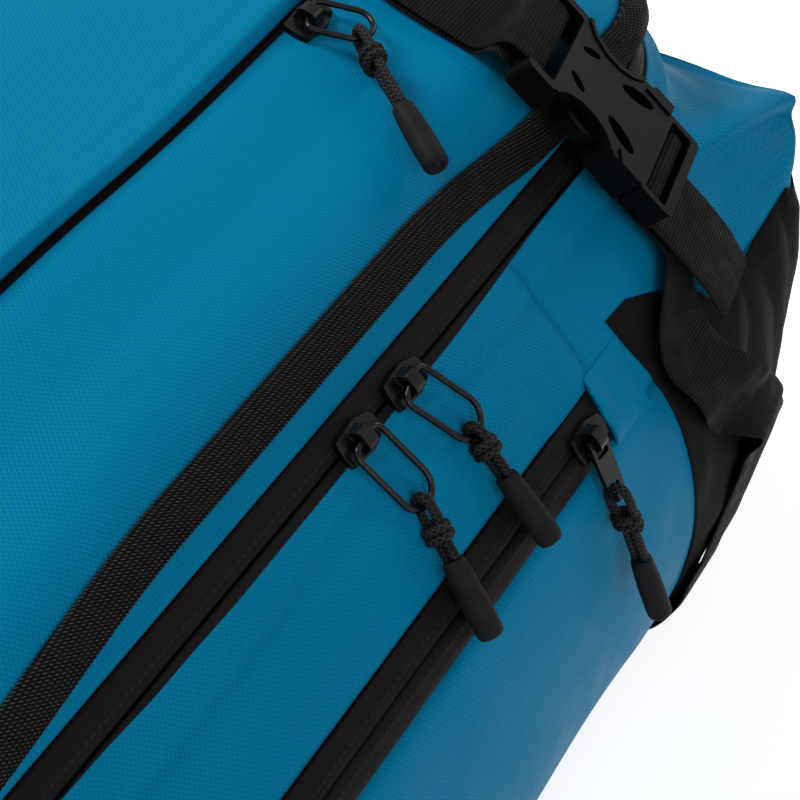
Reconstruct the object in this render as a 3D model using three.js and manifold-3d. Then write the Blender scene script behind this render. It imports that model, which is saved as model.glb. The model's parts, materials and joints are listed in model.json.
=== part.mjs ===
// A ski boot backpack lying on its harness, in millimetres, +Z up through the front of the pack.
// +Y points to the pack's top end and +X to its right side. The bag is a hollow body of sewn panels
// with a front panel that opens about its bottom edge, a zip round that panel, a zip along each
// side, a pocket zip under a storm flap, and a compression strap with a side release buckle at each side.
import * as THREE from 'three';
import { mergeVertices } from 'three/addons/utils/BufferGeometryUtils.js';
import Module from 'manifold-3d';

const wasm = await Module();
wasm.setup();

// ---------------------------------------------------------------- driving dimensions

const halfWidth = 191.5; // widest part of the body, from the middle
const halfLength = 250; // longest part of the body, from the middle
const bodyDepth = 144.7; // back seam to the outer edge of the side zips
const roofDepth = 89.8; // outer edge of the side zips to the outer face at the middle of the front
const wall = 2.4; // padded fabric panels
const gap = 0.35; // between pieces that touch
const panelGap = 0.6; // between the edges of two sewn panels

const strapFoam = 12; // shoulder strap thickness
const backFoam = 13.8; // padded back thickness
const frameSheet = 1.6; // stiff sheet behind the padded back
const sheetInset = 20; // from the back seam
const shoulderStrapWidth = 62;
const adjusterWebbing = 20;

const tapeRise = 1.1; // zip tape above the panels beside it
const tapeDepth = 0.9; // and below
const bindingRise = 3.6;
const pocketThick = 3.2; // two layers of the front pocket
const pocketTape = 15;
const zipEndY = 50 - halfLength; // lower end of the front zip and of the side zips
const sideZipTopY = halfLength - 158; // upper end of the side zips
const sideSliderY = sideZipTopY - 17;
const upperSliderY = sideSliderY - 42;
const lowerSliderY = upperSliderY - 24;
const pocketLineX = 55; // the pocket zip runs along Y here
const pocketEdgeX = 49; // the pocket's open edge
const pocketTopY = halfLength - 122;
const pocketBottomY = 100 - halfLength;
const pocketSliderY = pocketTopY - 16;

const webbing = 30; // compression strap width
const strapShift = 7; // of the strap on the front, past the buckles' slots
const haulWebbing = 25;
const webbingThick = 1.5;
const buckleLength = 66;
const buckleWidth = webbing + 7;
const buckleThick = 11;
const bucklePlate = 2.5; // walls of the female half
const barThick = 5; // the female half's bar
const buckleYaw = THREE.MathUtils.degToRad(11); // the strap's turn towards the top end
const bucklePitch = THREE.MathUtils.degToRad(44); // and its slope
const buckleClearance = 6; // under the buckle's middle
const buckleY = halfLength - 100;
const mouthX = 18; // where the two halves meet, from the buckle's middle
const tailLength = 40;
const tailBend = THREE.MathUtils.degToRad(3.5);
const wingBack = 98; // the wing's edge from the top end, at the back seam
const wingFront = 139; // and at the side zip
const wingThick = 1.4;
const wingLift = 0.5; // under the wing, which is sewn down only at its edges

const haulReach = 24; // how far the haul loop stands off the top end
const haulHalf = 52;
const wireDiameter = 1.9;
const ringLength = 27;
const ringWidth = 14.5;
const pocketRing = 20;
const tabLength = 22;
const tabWidth = 9;
const cordDiameter = 3;
const endLength = 24;
const endDiameter = 8;

// The harness carries the back of the bag at this height.
const backPanelZ = strapFoam + 2 * gap;
const backSeamZ = backPanelZ + backFoam + gap;
const zipEdgeZ = backSeamZ + bodyDepth;

// ---------------------------------------------------------------- the bag's outer surface

// Rounded rectangles from the back seam (0) to the middle of the front (last). Each has its height
// as a share of the body's or the roof's depth, its insets from the widest half sizes, and its
// corner radii at the top and the lower end. The numbered levels are the edges of the sewn pieces.
// At the top end the side zips' seam is drawn out to a sharp corner under the sloping roof.
const levelTable = [
  { body: 0, inX: 19.5, inY: 16, top: 46, low: 44 },
  { body: 0.1, inX: 8.5, inY: 6, top: 46, low: 44 },
  { body: 0.26, inX: 2.5, inY: 2, top: 60, low: 42 },
  { body: 0.47, inX: 0, inY: 0.5, top: 66, low: 40 },
  { body: 0.64, inX: 1, inY: 0, top: 70, low: 36 },
  { body: 0.85, inX: 6.5, inY: 0, top: 58, low: 28 },
  { body: 1, inX: 14.9, inY: 2, top: 36, low: 20 },
  { roof: 0.154, inX: 25.7, inY: 6, top: 7, low: 18 },
  { roof: 0.31, inX: 37.9, inY: 10.5, top: 60, low: 22 },
  { roof: 0.458, inX: 51.2, inY: 14.5, top: 68, low: 28 },
  { roof: 0.532, inX: 57.5, inY: 18, top: 64, low: 31 },
  { roof: 0.608, inX: 63.8, inY: 21, top: 50, low: 33 },
  { roof: 0.657, inX: 68.2, inY: 24.5, top: 34, low: 34 },
  { roof: 0.755, inX: 78, inY: 34, top: 32, low: 32 },
  { roof: 0.844, inX: 91.5, inY: 48, top: 28, low: 28 },
  { roof: 0.916, inX: 115.5, inY: 74, top: 22, low: 22 },
  { roof: 0.975, inX: 139.5, inY: 100, top: 16, low: 16 },
  { roof: 1, inX: 165.5, inY: 128, top: 10, low: 10 },
];
const BACK_SEAM = 0;
const SIDE_ZIP_OUTER = 6;
const SIDE_ZIP_INNER = 7;
const FRONT_ZIP_OUTER = 9;
const FRONT_ZIP_LINE = 10;
const FRONT_ZIP_INNER = 11;
const BINDING_OUTER = 12;
const BINDING_INNER = 13;
const FRONT_MIDDLE = levelTable.length - 1;

const levels = levelTable.map((l) => ({
  hx: halfWidth - l.inX,
  hy: halfLength - l.inY,
  top: l.top,
  low: l.low,
  z: l.roof === undefined ? backSeamZ + l.body * bodyDepth : zipEdgeZ + l.roof * roofDepth,
}));

const mix = (a, b, f) => a + (b - a) * f;

function levelAt(v) {
  const i = Math.min(Math.max(Math.floor(v), 0), FRONT_MIDDLE - 1);
  const f = v - i;
  const [a, b] = [levels[i], levels[i + 1]];
  return {
    hx: mix(a.hx, b.hx, f),
    hy: mix(a.hy, b.hy, f),
    top: mix(a.top, b.top, f),
    low: mix(a.low, b.low, f),
    z: mix(a.z, b.z, f),
  };
}

// u runs once round a level, two units to each quarter: 0 to 1 is the right side towards +Y, 1 to 2
// the corner after it, 2 to 3 the top end towards -X, and so on to 8.
function surfacePoint(u, v) {
  const { hx, hy, top, low, z } = levelAt(v);
  const turn = ((u % 8) + 8) % 8;
  const side = Math.floor(turn / 2);
  const f = turn - 2 * side;
  const [across, along] = side % 2 ? [hy, hx] : [hx, hy];
  const before = side === 0 || side === 3 ? low : top;
  const r = side < 2 ? top : low;
  const p = new THREE.Vector3(across, mix(before - along, along - r, f), z);
  if (f > 1) {
    const angle = ((f - 1) * Math.PI) / 2;
    p.x = across - r + r * Math.cos(angle);
    p.y = along - r + r * Math.sin(angle);
  }
  return p.applyAxisAngle(new THREE.Vector3(0, 0, 1), side * (Math.PI / 2));
}

function surfaceFrame(u, v) {
  const step = 0.3;
  const low = Math.max(v - step, 0);
  const high = Math.min(v + step, FRONT_MIDDLE);
  const up = surfacePoint(u, high).sub(surfacePoint(u, low)).normalize();
  const along = surfacePoint(u + 0.02, v).sub(surfacePoint(u - 0.02, v)).normalize();
  const out = along.clone().cross(up).normalize();
  return { point: surfacePoint(u, v), along, up: out.clone().cross(along), out };
}

const surfaceOffset = (u, v, offset) => {
  const f = surfaceFrame(u, v);
  return f.point.addScaledVector(f.out, offset);
};

// u of a place on a long side, from its Y, and v a distance up the side's profile from a level.
const uOfY = (v, y, side = 1) => {
  const { hy, top, low } = levelAt(v);
  const f = (y + hy - low) / (2 * hy - low - top);
  return side > 0 ? f : 5 - f;
};
const vAbove = (v, distance) => {
  const i = distance >= 0 ? v : v - 1;
  const length = surfacePoint(0.5, i + 1).distanceTo(surfacePoint(0.5, i));
  return v + distance / length;
};

// Height of the front panel's outer face over a point near the middle of the bag.
function frontHeight(x, y) {
  const along = (key, at) => {
    for (let i = BINDING_OUTER; i < FRONT_MIDDLE; i += 1) {
      const [a, b] = [levels[i], levels[i + 1]];
      if (at <= a[key] && at >= b[key]) return mix(a.z, b.z, (a[key] - at) / (a[key] - b[key]));
    }
    return at > levels[BINDING_OUTER][key] ? levels[BINDING_OUTER].z : levels[FRONT_MIDDLE].z;
  };
  return Math.min(along('hx', Math.abs(x)), along('hy', Math.abs(y)));
}

// ---------------------------------------------------------------- building solids

function fromTriangles(points, triangles) {
  let volume = 0;
  for (const [a, b, c] of triangles) {
    volume += points[a].dot(points[b].clone().cross(points[c]));
  }
  const faces = volume < 0 ? triangles.map(([a, b, c]) => [a, c, b]) : triangles;
  const geometry = new THREE.BufferGeometry();
  geometry.setAttribute(
    'position',
    new THREE.Float32BufferAttribute(points.flatMap((p) => p.toArray()), 3),
  );
  geometry.setIndex(faces.flat());
  geometry.computeVertexNormals();
  return geometry;
}

const steps = (from, to, count) => Array.from({ length: count + 1 }, (_, i) => mix(from, to, i / count));

// A slab between two layers of a grid of points. layer(k, i, j) gives a point of the outer (k 0) or
// inner (k 1) layer. A closed slab runs round and meets itself. With crests, each cell folds along its higher
// diagonal, so that the slab lies on a surface that bulges up.
function slab(columns, rows, layer, { closed = false, crests = false } = {}) {
  const points = [];
  const at = (k, i, j) => (k * columns + (i % columns)) * rows + j;
  for (let k = 0; k < 2; k += 1) {
    for (let i = 0; i < columns; i += 1) {
      for (let j = 0; j < rows; j += 1) points.push(layer(k, i, j));
    }
  }
  const triangles = [];
  const quad = (a, b, c, d) => {
    const other = crests && points[b].z + points[d].z > points[a].z + points[c].z + 1e-6;
    triangles.push(...(other ? [[b, c, d], [b, d, a]] : [[a, b, c], [a, c, d]]));
  };
  const last = closed ? columns : columns - 1;
  for (let i = 0; i < last; i += 1) {
    for (let j = 0; j < rows - 1; j += 1) {
      quad(at(0, i, j), at(0, i + 1, j), at(0, i + 1, j + 1), at(0, i, j + 1));
      quad(at(1, i, j), at(1, i, j + 1), at(1, i + 1, j + 1), at(1, i + 1, j));
    }
    quad(at(0, i, 0), at(1, i, 0), at(1, i + 1, 0), at(0, i + 1, 0));
    quad(at(0, i, rows - 1), at(0, i + 1, rows - 1), at(1, i + 1, rows - 1), at(1, i, rows - 1));
  }
  if (!closed) {
    for (let j = 0; j < rows - 1; j += 1) {
      quad(at(0, 0, j), at(0, 0, j + 1), at(1, 0, j + 1), at(1, 0, j));
      quad(at(0, last, j), at(1, last, j), at(1, last, j + 1), at(0, last, j + 1));
    }
  }
  return fromTriangles(points, triangles);
}

// A piece sewn into the bag's surface. where(i, j) gives its u and v, and rise(i, j) and
// depth(i, j) how far its faces stand above and below the surface.
function sewnPiece(columns, rows, where, rise, depth, closed = false) {
  return slab(
    columns,
    rows,
    (k, i, j) => surfaceOffset(...where(i, j), k === 0 ? rise(i, j) : -depth(i, j)),
    { closed },
  );
}

// The u values round a corner and the straight runs between, from one u to another.
function roundTrip(from, to, perCorner = 5) {
  const list = [from];
  for (let u = Math.floor(from); u < to; u += 1) {
    const corner = ((u % 2) + 2) % 2 === 1;
    const count = corner ? perCorner : 1;
    for (let i = 0; i <= count; i += 1) list.push(u + i / count);
  }
  list.push(to);
  return [...new Set(list.filter((u) => u >= from && u <= to).map((u) => Math.round(u * 1e6) / 1e6))];
}
const wholeRing = roundTrip(0, 8).slice(0, -1);

const panel = (us, vs, closed = false) =>
  sewnPiece(us.length, vs.length, (i, j) => [us[i], vs[j]], () => 0, () => wall, closed);

// A band from one long side round an end of the bag to the other side. end is 1 for the top end and
// -1 for the lower one, and y is where the band stops on both sides.
function bandRound(end, y, vs, rise, depth) {
  const middle = end > 0 ? roundTrip(1, 4) : roundTrip(5, 8);
  const count = middle.length + 2;
  const where = (i, j) => {
    if (i === 0) return [uOfY(vs[j], y, end), vs[j]];
    if (i === count - 1) return [uOfY(vs[j], y, -end), vs[j]];
    return [middle[i - 1], vs[j]];
  };
  return sewnPiece(count, vs.length, where, () => rise, () => depth);
}

// Between two heights of Y on one long side.
const sidePiece = (y0, y1, vs, side, rise, depth) =>
  sewnPiece(2, vs.length, (i, j) => [uOfY(vs[j], i ? y1 : y0, side), vs[j]], () => rise, () => depth);

function solid(geometry) {
  const bare = geometry.clone();
  Object.keys(bare.attributes).forEach((key) => key !== 'position' && bare.deleteAttribute(key));
  const merged = mergeVertices(bare, 1e-4);
  const triVerts = new Uint32Array(merged.index.array);
  const vertProperties = new Float32Array(merged.attributes.position.array);
  return new wasm.Manifold(new wasm.Mesh({ numProp: 3, vertProperties, triVerts }));
}

function geometryOf(body) {
  const mesh = body.getMesh();
  const geometry = new THREE.BufferGeometry();
  geometry.setAttribute('position', new THREE.Float32BufferAttribute(mesh.vertProperties, 3));
  geometry.setIndex(Array.from(mesh.triVerts));
  geometry.computeVertexNormals();
  return geometry;
}

// A shape drawn in x and y, from height z0 to z1.
function prism(shape, z0, z1, curveSegments = 6) {
  const geometry = new THREE.ExtrudeGeometry(shape, { depth: z1 - z0, bevelEnabled: false, curveSegments });
  return geometry.translate(0, 0, z0);
}

function roundedRectangle(x0, x1, y0, y1, r) {
  const shape = new THREE.Shape();
  shape.moveTo(x0 + r, y0);
  shape.lineTo(x1 - r, y0);
  shape.absarc(x1 - r, y0 + r, r, -Math.PI / 2, 0);
  shape.lineTo(x1, y1 - r);
  shape.absarc(x1 - r, y1 - r, r, 0, Math.PI / 2);
  shape.lineTo(x0 + r, y1);
  shape.absarc(x0 + r, y1 - r, r, Math.PI / 2, Math.PI);
  shape.lineTo(x0, y0 + r);
  shape.absarc(x0 + r, y0 + r, r, Math.PI, Math.PI * 1.5);
  return shape;
}

function polygon(points) {
  return new THREE.Shape(points.map(([x, y]) => new THREE.Vector2(x, y)));
}

function ellipse(x, y, rx, ry, turn = 0) {
  const shape = new THREE.Shape();
  shape.absellipse(x, y, rx, ry, 0, Math.PI * 2, false, turn);
  return shape;
}

// Flat webbing through a list of places, each a point and the direction across the webbing.
function ribbon(places, width, thick) {
  const points = [];
  places.forEach(({ p, w }, i) => {
    const before = places[Math.max(i - 1, 0)].p;
    const after = places[Math.min(i + 1, places.length - 1)].p;
    const n = w.clone().cross(after.clone().sub(before)).normalize();
    for (const [a, b] of [[-1, -1], [1, -1], [1, 1], [-1, 1]]) {
      points.push(p.clone().addScaledVector(w, (a * width) / 2).addScaledVector(n, (b * thick) / 2));
    }
  });
  const triangles = [];
  for (let i = 0; i < places.length - 1; i += 1) {
    for (let k = 0; k < 4; k += 1) {
      const [a, b] = [4 * i + k, 4 * i + ((k + 1) % 4)];
      triangles.push([a, b, b + 4], [a, b + 4, a + 4]);
    }
  }
  const e = 4 * (places.length - 1);
  triangles.push([0, 2, 1], [0, 3, 2], [e, e + 1, e + 2], [e, e + 2, e + 3]);
  return fromTriangles(points, triangles);
}

const mirrored = (geometry) => {
  const copy = geometry.clone().scale(-1, 1, 1);
  const index = copy.index.array;
  for (let i = 0; i < index.length; i += 3) [index[i], index[i + 1]] = [index[i + 1], index[i]];
  copy.computeVertexNormals();
  return copy;
};

// ---------------------------------------------------------------- materials

const fabric = (color, roughness = 0.55) =>
  new THREE.MeshStandardMaterial({ color, roughness, metalness: 0, side: THREE.FrontSide });
const materials = {
  shell: () => fabric(0x0073a0, 0.42),
  blackFabric: () => fabric(0x161618, 0.7),
  foam: () => fabric(0x1b1b1d, 0.85),
  sheet: () => fabric(0x2b2b2d, 0.6),
  tape: () => fabric(0x121214, 0.5),
  twill: () => fabric(0x17171a, 0.8),
  webbing: () => fabric(0x151517, 0.75),
  plastic: () => fabric(0x1c1c1e, 0.45),
  metal: () => new THREE.MeshStandardMaterial({ color: 0x0e0e10, roughness: 0.2, metalness: 0.8 }),
  cord: () => fabric(0x121213, 0.8),
  rubber: () => fabric(0x232325, 0.6),
};

const bag = new THREE.Group();
bag.name = 'boot_bag';
// The origin is under the middle of the whole length, haul loop included.
bag.position.y = -haulReach / 2;

function add(name, geometry, material, parent = bag) {
  const mesh = new THREE.Mesh(geometry, materials[material]());
  mesh.name = name;
  parent.add(mesh);
  return mesh;
}

// A piece on each side, the left one the mirror image of the right.
function addPair(name, geometry, material) {
  add(`${name}_right`, geometry, material);
  add(`${name}_left`, mirrored(geometry), material);
}

// ---------------------------------------------------------------- the body's panels

const halfGap = panelGap / 2;
const sideLevels = [0, 1, 2, 3, 4, 5];

function bodyPanels() {
  const vs = [...sideLevels, vAbove(SIDE_ZIP_OUTER, -halfGap)];
  const cornerGap = 0.012;
  const names = ['side_panel_right', 'top_end_panel', 'side_panel_left', 'bottom_end_panel'];
  names.forEach((name, k) => {
    const us = roundTrip(2 * k - 0.5 + cornerGap, 2 * k + 1.5 - cornerGap);
    add(name, panel(us, vs), 'shell');
  });
}

function gussets() {
  const inner = vAbove(SIDE_ZIP_INNER, halfGap);
  const outer = vAbove(FRONT_ZIP_OUTER, -halfGap);
  const strip = (side) =>
    sidePiece(zipEndY + halfGap, sideZipTopY - halfGap, [inner, 8, outer], side, 0, wall);
  add('gusset_right', strip(1), 'shell');
  add('gusset_left', strip(-1), 'shell');
  const low = vAbove(SIDE_ZIP_OUTER, halfGap);
  const hinge = vAbove(FRONT_ZIP_LINE, -halfGap);
  const topRows = [low, SIDE_ZIP_INNER, 8, outer];
  const lowRows = [low, SIDE_ZIP_INNER, 8, FRONT_ZIP_OUTER, hinge];
  add('top_gusset', bandRound(1, sideZipTopY + halfGap, topRows, 0, wall), 'shell');
  add('bottom_gusset', bandRound(-1, zipEndY - halfGap, lowRows, 0, wall), 'shell');
}

function sideZips() {
  const vs = [vAbove(SIDE_ZIP_OUTER, halfGap), vAbove(SIDE_ZIP_INNER, -halfGap)];
  const tape = (side) =>
    sidePiece(zipEndY + halfGap, sideZipTopY - halfGap, vs, side, tapeRise, tapeDepth);
  add('side_zip_tape_right', tape(1), 'tape');
  add('side_zip_tape_left', tape(-1), 'tape');
}

// The front zip runs up one side, round the top end and down the other side. One half of its tape
// is on the body and one on the front panel, and they part at the zip's line.
function frontZip() {
  const outer = [vAbove(FRONT_ZIP_OUTER, halfGap), vAbove(FRONT_ZIP_LINE, -gap / 2)];
  const inner = [vAbove(FRONT_ZIP_LINE, gap / 2), vAbove(FRONT_ZIP_INNER, -halfGap)];
  add('zip_tape_body', bandRound(1, zipEndY + halfGap, outer, tapeRise, tapeDepth), 'tape');
  add('zip_tape_lid', bandRound(1, zipEndY + halfGap, inner, tapeRise, tapeDepth), 'tape');
}

// A second layer of fabric over each upper corner, from the back seam up past the side zip's seam,
// where the compression webbing is sewn in.
function cornerWings() {
  const edgeY = (v) => halfLength - mix(wingBack, wingFront, v / SIDE_ZIP_INNER);
  const tops = [6.95, 6.6, 6.15, 5.9, 5.8, 5.7, 5.6, 5.5, 5.4];
  const corner = [1, 1.2, 1.4, 1.5, 1.6, 1.8, 2];
  const rows = [0.12, 1, 2, 3, 4, 5, 6];
  const where = (i, j) => {
    const top = tops[i];
    const v = j === rows.length ? top : Math.min(rows[j], top - 0.15 * (rows.length - j));
    if (i === 0) return [uOfY(v, edgeY(v)), v];
    if (i === 1) return [uOfY(v, mix(edgeY(v), levelAt(v).hy - levelAt(v).top, 0.6)), v];
    return [corner[i - 2], v];
  };
  const wing = sewnPiece(tops.length, rows.length + 1, where, () => wingLift + wingThick, () => -wingLift);
  addPair('corner_wing', wing, 'blackFabric');
}

// ---------------------------------------------------------------- back and harness

function backPanel() {
  // Its edge lies under the lower edge of the sides and ends, where the back seam is sewn.
  const { hx, hy } = levels[0];
  const r = Math.min(levels[0].top, levels[0].low);
  const outline = (inset) =>
    roundedRectangle(-hx + inset, hx - inset, -hy + inset, hy - inset, r - inset / 2);
  add('back_panel', prism(outline(0), backPanelZ, backPanelZ + backFoam), 'foam');
  add('frame_sheet', prism(outline(sheetInset), backSeamZ, backSeamZ + frameSheet), 'sheet');
}

// A strap of even width round a curve in plan, with rounded ends.
function stripShape(curve, width, divisions) {
  const left = [];
  const right = [];
  for (let i = 0; i <= divisions; i += 1) {
    const t = i / divisions;
    const p = curve.getPoint(t);
    const d = curve.getTangent(t);
    const taper = Math.sqrt(1 - Math.max(0, (Math.abs(2 * t - 1) - 0.9) / 0.1) ** 2 * 0.75);
    const n = new THREE.Vector3(-d.y, d.x, 0).multiplyScalar((width / 2) * taper);
    left.push([p.x + n.x, p.y + n.y]);
    right.unshift([p.x - n.x, p.y - n.y]);
  }
  return polygon([...left, ...right]);
}

const shoulderCurve = new THREE.CatmullRomCurve3([
  new THREE.Vector3(50, halfLength - 42, 0),
  new THREE.Vector3(52, 130, 0),
  new THREE.Vector3(84, 40, 0),
  new THREE.Vector3(112, -50, 0),
  new THREE.Vector3(118, -118, 0),
]);
const adjuster = { x: 118, y: -136, width: adjusterWebbing + 8, length: 30, slot: 4.5, z0: 2.2, z1: 7.2 };

function harness() {
  const strap = new THREE.ExtrudeGeometry(stripShape(shoulderCurve, shoulderStrapWidth - 4, 18), {
    depth: strapFoam - 3, bevelEnabled: true, bevelThickness: 1.5, bevelSize: 2, bevelSegments: 1,
  }).translate(0, 0, 1.5);
  addPair('shoulder_strap', mergeVertices(bare(strap), 1e-4), 'foam');

  const { x, y, width, length, slot, z0, z1 } = adjuster;
  const ladder = roundedRectangle(x - width / 2, x + width / 2, y - length / 2, y + length / 2, 3);
  const slots = [-1, 1].map((s) => y + s * 7.5);
  slots.forEach((sy) => {
    ladder.holes.push(
      roundedRectangle(x - adjusterWebbing / 2 - 1, x + adjusterWebbing / 2 + 1, sy - slot / 2, sy + slot / 2, 1));
  });
  addPair('strap_adjuster', mergeVertices(bare(prism(ladder, z0, z1, 3)), 1e-4), 'plastic');

  // Up through the upper slot, over the bar, down the lower one and out to the bag's lower corner.
  const across = new THREE.Vector3(1, 0, 0);
  const top = z1 + gap + webbingThick / 2;
  const low = z0 - 1.2;
  const end = new THREE.Vector3(halfWidth - 46, -halfLength + 44, backPanelZ - gap - webbingThick / 2);
  const lean = across.clone().add(new THREE.Vector3(0, 0.42, 0)).normalize();
  const places = [
    { p: new THREE.Vector3(x, slots[1], low + 0.6), w: across },
    { p: new THREE.Vector3(x, slots[1], z1 - 1), w: across },
    { p: new THREE.Vector3(x, slots[1] - 1.5, top - 0.4), w: across },
    { p: new THREE.Vector3(x, slots[1] - 4, top), w: across },
    { p: new THREE.Vector3(x, slots[0] + 4, top), w: across },
    { p: new THREE.Vector3(x, slots[0] + 1.5, top - 0.4), w: across },
    { p: new THREE.Vector3(x, slots[0], z1 - 1), w: across },
    { p: new THREE.Vector3(x, slots[0] - 0.3, low + 1), w: across },
    { p: new THREE.Vector3(x + 0.5, slots[0] - 1.6, low), w: across },
    { p: new THREE.Vector3(x + 2, slots[0] - 5, low), w: across },
    { p: new THREE.Vector3(x + 6, y - length / 2 - 6, low), w: lean },
    { p: new THREE.Vector3(x + 6, y - length / 2 - 6, low).lerp(end, 0.7).setZ(mix(low, end.z, 0.8)), w: lean },
    { p: end, w: lean },
  ];
  addPair('strap_webbing', ribbon(places, adjusterWebbing, webbingThick), 'webbing');
}

function bare(geometry) {
  const copy = geometry.clone();
  Object.keys(copy.attributes).forEach((key) => key !== 'position' && copy.deleteAttribute(key));
  return copy;
}

// A loop of webbing sewn to the top end, by the back seam.
function haulLoop() {
  const z = levels[1].z;
  const across = new THREE.Vector3(0, 0, 1);
  const flat = webbingThick * 1.6;
  const upper = (z + haulWebbing / 2 - levels[1].z) / (levels[2].z - levels[1].z);
  const seat = levelAt(1 + upper).hy + gap + flat / 2;
  const legX = haulHalf + 12;
  const sewn = [legX + 22, legX].map((x) => ({ p: new THREE.Vector3(x, seat, z), w: across }));
  const arch = steps(0, 1, 10).map((t) => {
    const rise = Math.sin(Math.PI * mix(0.12, 0.88, t)) ** 0.8;
    const y = mix(seat, halfLength + haulReach - flat / 2, rise);
    return { p: new THREE.Vector3(mix(haulHalf, -haulHalf, t), y, z), w: across };
  });
  const other = [-legX, -legX - 22].map((x) => ({ p: new THREE.Vector3(x, seat, z), w: across }));
  add('haul_loop', ribbon([...sewn, ...arch, ...other], haulWebbing, flat), 'webbing');
}

// ---------------------------------------------------------------- the opening front

function lidPanels() {
  const inner = vAbove(BINDING_INNER, halfGap);
  const vs = [inner, 14, 15, 16, FRONT_MIDDLE];
  const rows = vs.length;
  const ring = roundTrip(0, 8, 4).slice(0, -1);
  const count = ring.length;
  const points = [];
  const triangles = [];
  const at = (k, i, j) => (k * count + (i % count)) * rows + j;
  for (let k = 0; k < 2; k += 1) {
    ring.forEach((u) => vs.forEach((v) => points.push(surfaceOffset(u, v, -k * wall))));
  }
  const quad = (a, b, c, d) => triangles.push([a, b, c], [a, c, d]);
  for (let i = 0; i < count; i += 1) {
    for (let j = 0; j < rows - 1; j += 1) {
      quad(at(0, i, j), at(0, i + 1, j), at(0, i + 1, j + 1), at(0, i, j + 1));
      quad(at(1, i, j), at(1, i, j + 1), at(1, i + 1, j + 1), at(1, i + 1, j));
    }
    quad(at(0, i, 0), at(1, i, 0), at(1, i + 1, 0), at(0, i + 1, 0));
  }
  // The middle is closed by strips across from one long side to the other. The ring starts at the
  // lower end of the right side, so its mirror order starts at the upper end of the left side.
  const order = ring.map((u, i) => ({ i, p: surfacePoint(u, FRONT_MIDDLE) }));
  const right = order.filter(({ p }) => p.x > 0).sort((a, b) => a.p.y - b.p.y || a.i - b.i);
  const left = order.filter(({ p }) => p.x < 0).sort((a, b) => a.p.y - b.p.y || b.i - a.i);
  for (let n = 0; n < right.length - 1; n += 1) {
    const [a, b, c, d] = [right[n].i, right[n + 1].i, left[n + 1].i, left[n].i];
    quad(at(0, a, rows - 1), at(0, b, rows - 1), at(0, c, rows - 1), at(0, d, rows - 1));
    quad(at(1, a, rows - 1), at(1, d, rows - 1), at(1, c, rows - 1), at(1, b, rows - 1));
  }
  add('front_panel', fromTriangles(points, triangles), 'shell');

  const strip = [vAbove(FRONT_ZIP_INNER, halfGap), vAbove(BINDING_OUTER, -halfGap)];
  add('lid_edge_strip', panel(wholeRing, strip, true), 'shell');

  // The fabric that the front hangs from, at the lower end between the two ends of the zip.
  const hem = [vAbove(FRONT_ZIP_LINE, halfGap), vAbove(FRONT_ZIP_INNER, -halfGap)];
  add('lid_hinge_hem', bandRound(-1, zipEndY - halfGap, hem, 0, wall), 'shell');

  // A rolled band of twill tape, crowned across its width.
  const across = [0, 0.1, 0.3, 0.7, 0.9, 1];
  const lift = across.map((t) => 0.6 + (bindingRise - 0.6) * Math.sin(Math.PI * t) ** 0.6);
  const bandV = across.map((t) => mix(vAbove(BINDING_OUTER, halfGap), vAbove(BINDING_INNER, -halfGap), t));
  const band = sewnPiece(
    wholeRing.length, bandV.length, (i, j) => [wholeRing[i], bandV[j]], (i, j) => lift[j], () => wall, true);
  add('front_binding', band, 'twill');
}

// Height of what the front strap lies on: the pocket panel on one side and the bare front on the
// other.
const pocketSeat = (x) => Math.max(0, (x - (pocketEdgeX - 20)) / 20) * (tapeRise + gap);
const pocketFloor = (x, y) => frontHeight(x, y) + gap + pocketSeat(x);
const coverHeight = (x, y) =>
  x > pocketEdgeX ? frontHeight(x, y) : pocketFloor(x, y) + pocketThick;

// A flat pocket over most of the front. Its open edge lies over half of the pocket zip's tape.
function pocket() {
  const stops = levels.slice(BINDING_INNER + 1);
  const farX = -levels[BINDING_INNER].hx + 14;
  const xs = [
    farX,
    ...stops.slice(1).map((l) => -l.hx),
    ...stops.slice(1).map((l) => l.hx).reverse().filter((x) => x < pocketEdgeX - 20),
    pocketEdgeX - 20,
    pocketEdgeX,
  ].sort((a, b) => a - b);
  const halfY = levels[BINDING_INNER].hy - 20;
  const breaks = stops.slice(1).map((l) => l.hy);
  const ys = [-halfY, ...breaks.map((y) => -y), ...breaks.reverse(), halfY];
  const bag = (k, i, j) => {
    const z = pocketFloor(xs[i], ys[j]);
    return new THREE.Vector3(xs[i], ys[j], k === 0 ? z + pocketThick : z);
  };
  add('front_pocket', slab(xs.length, ys.length, bag, { crests: true }), 'shell');

  const half = pocketTape / 2;
  const tx = [pocketLineX - half, levels[16].hx, pocketLineX + half].sort((a, b) => a - b);
  const ty = [pocketBottomY, -levels[16].hy, -levels[17].hy, levels[17].hy, pocketTopY];
  const tape = (k, i, j) => {
    const z = frontHeight(tx[i], ty[j]) + gap;
    return new THREE.Vector3(tx[i], ty[j], k === 0 ? z + tapeRise : z);
  };
  add('pocket_zip_tape', slab(tx.length, ty.length, tape, { crests: true }), 'tape');
}

// ---------------------------------------------------------------- side release buckles

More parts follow.
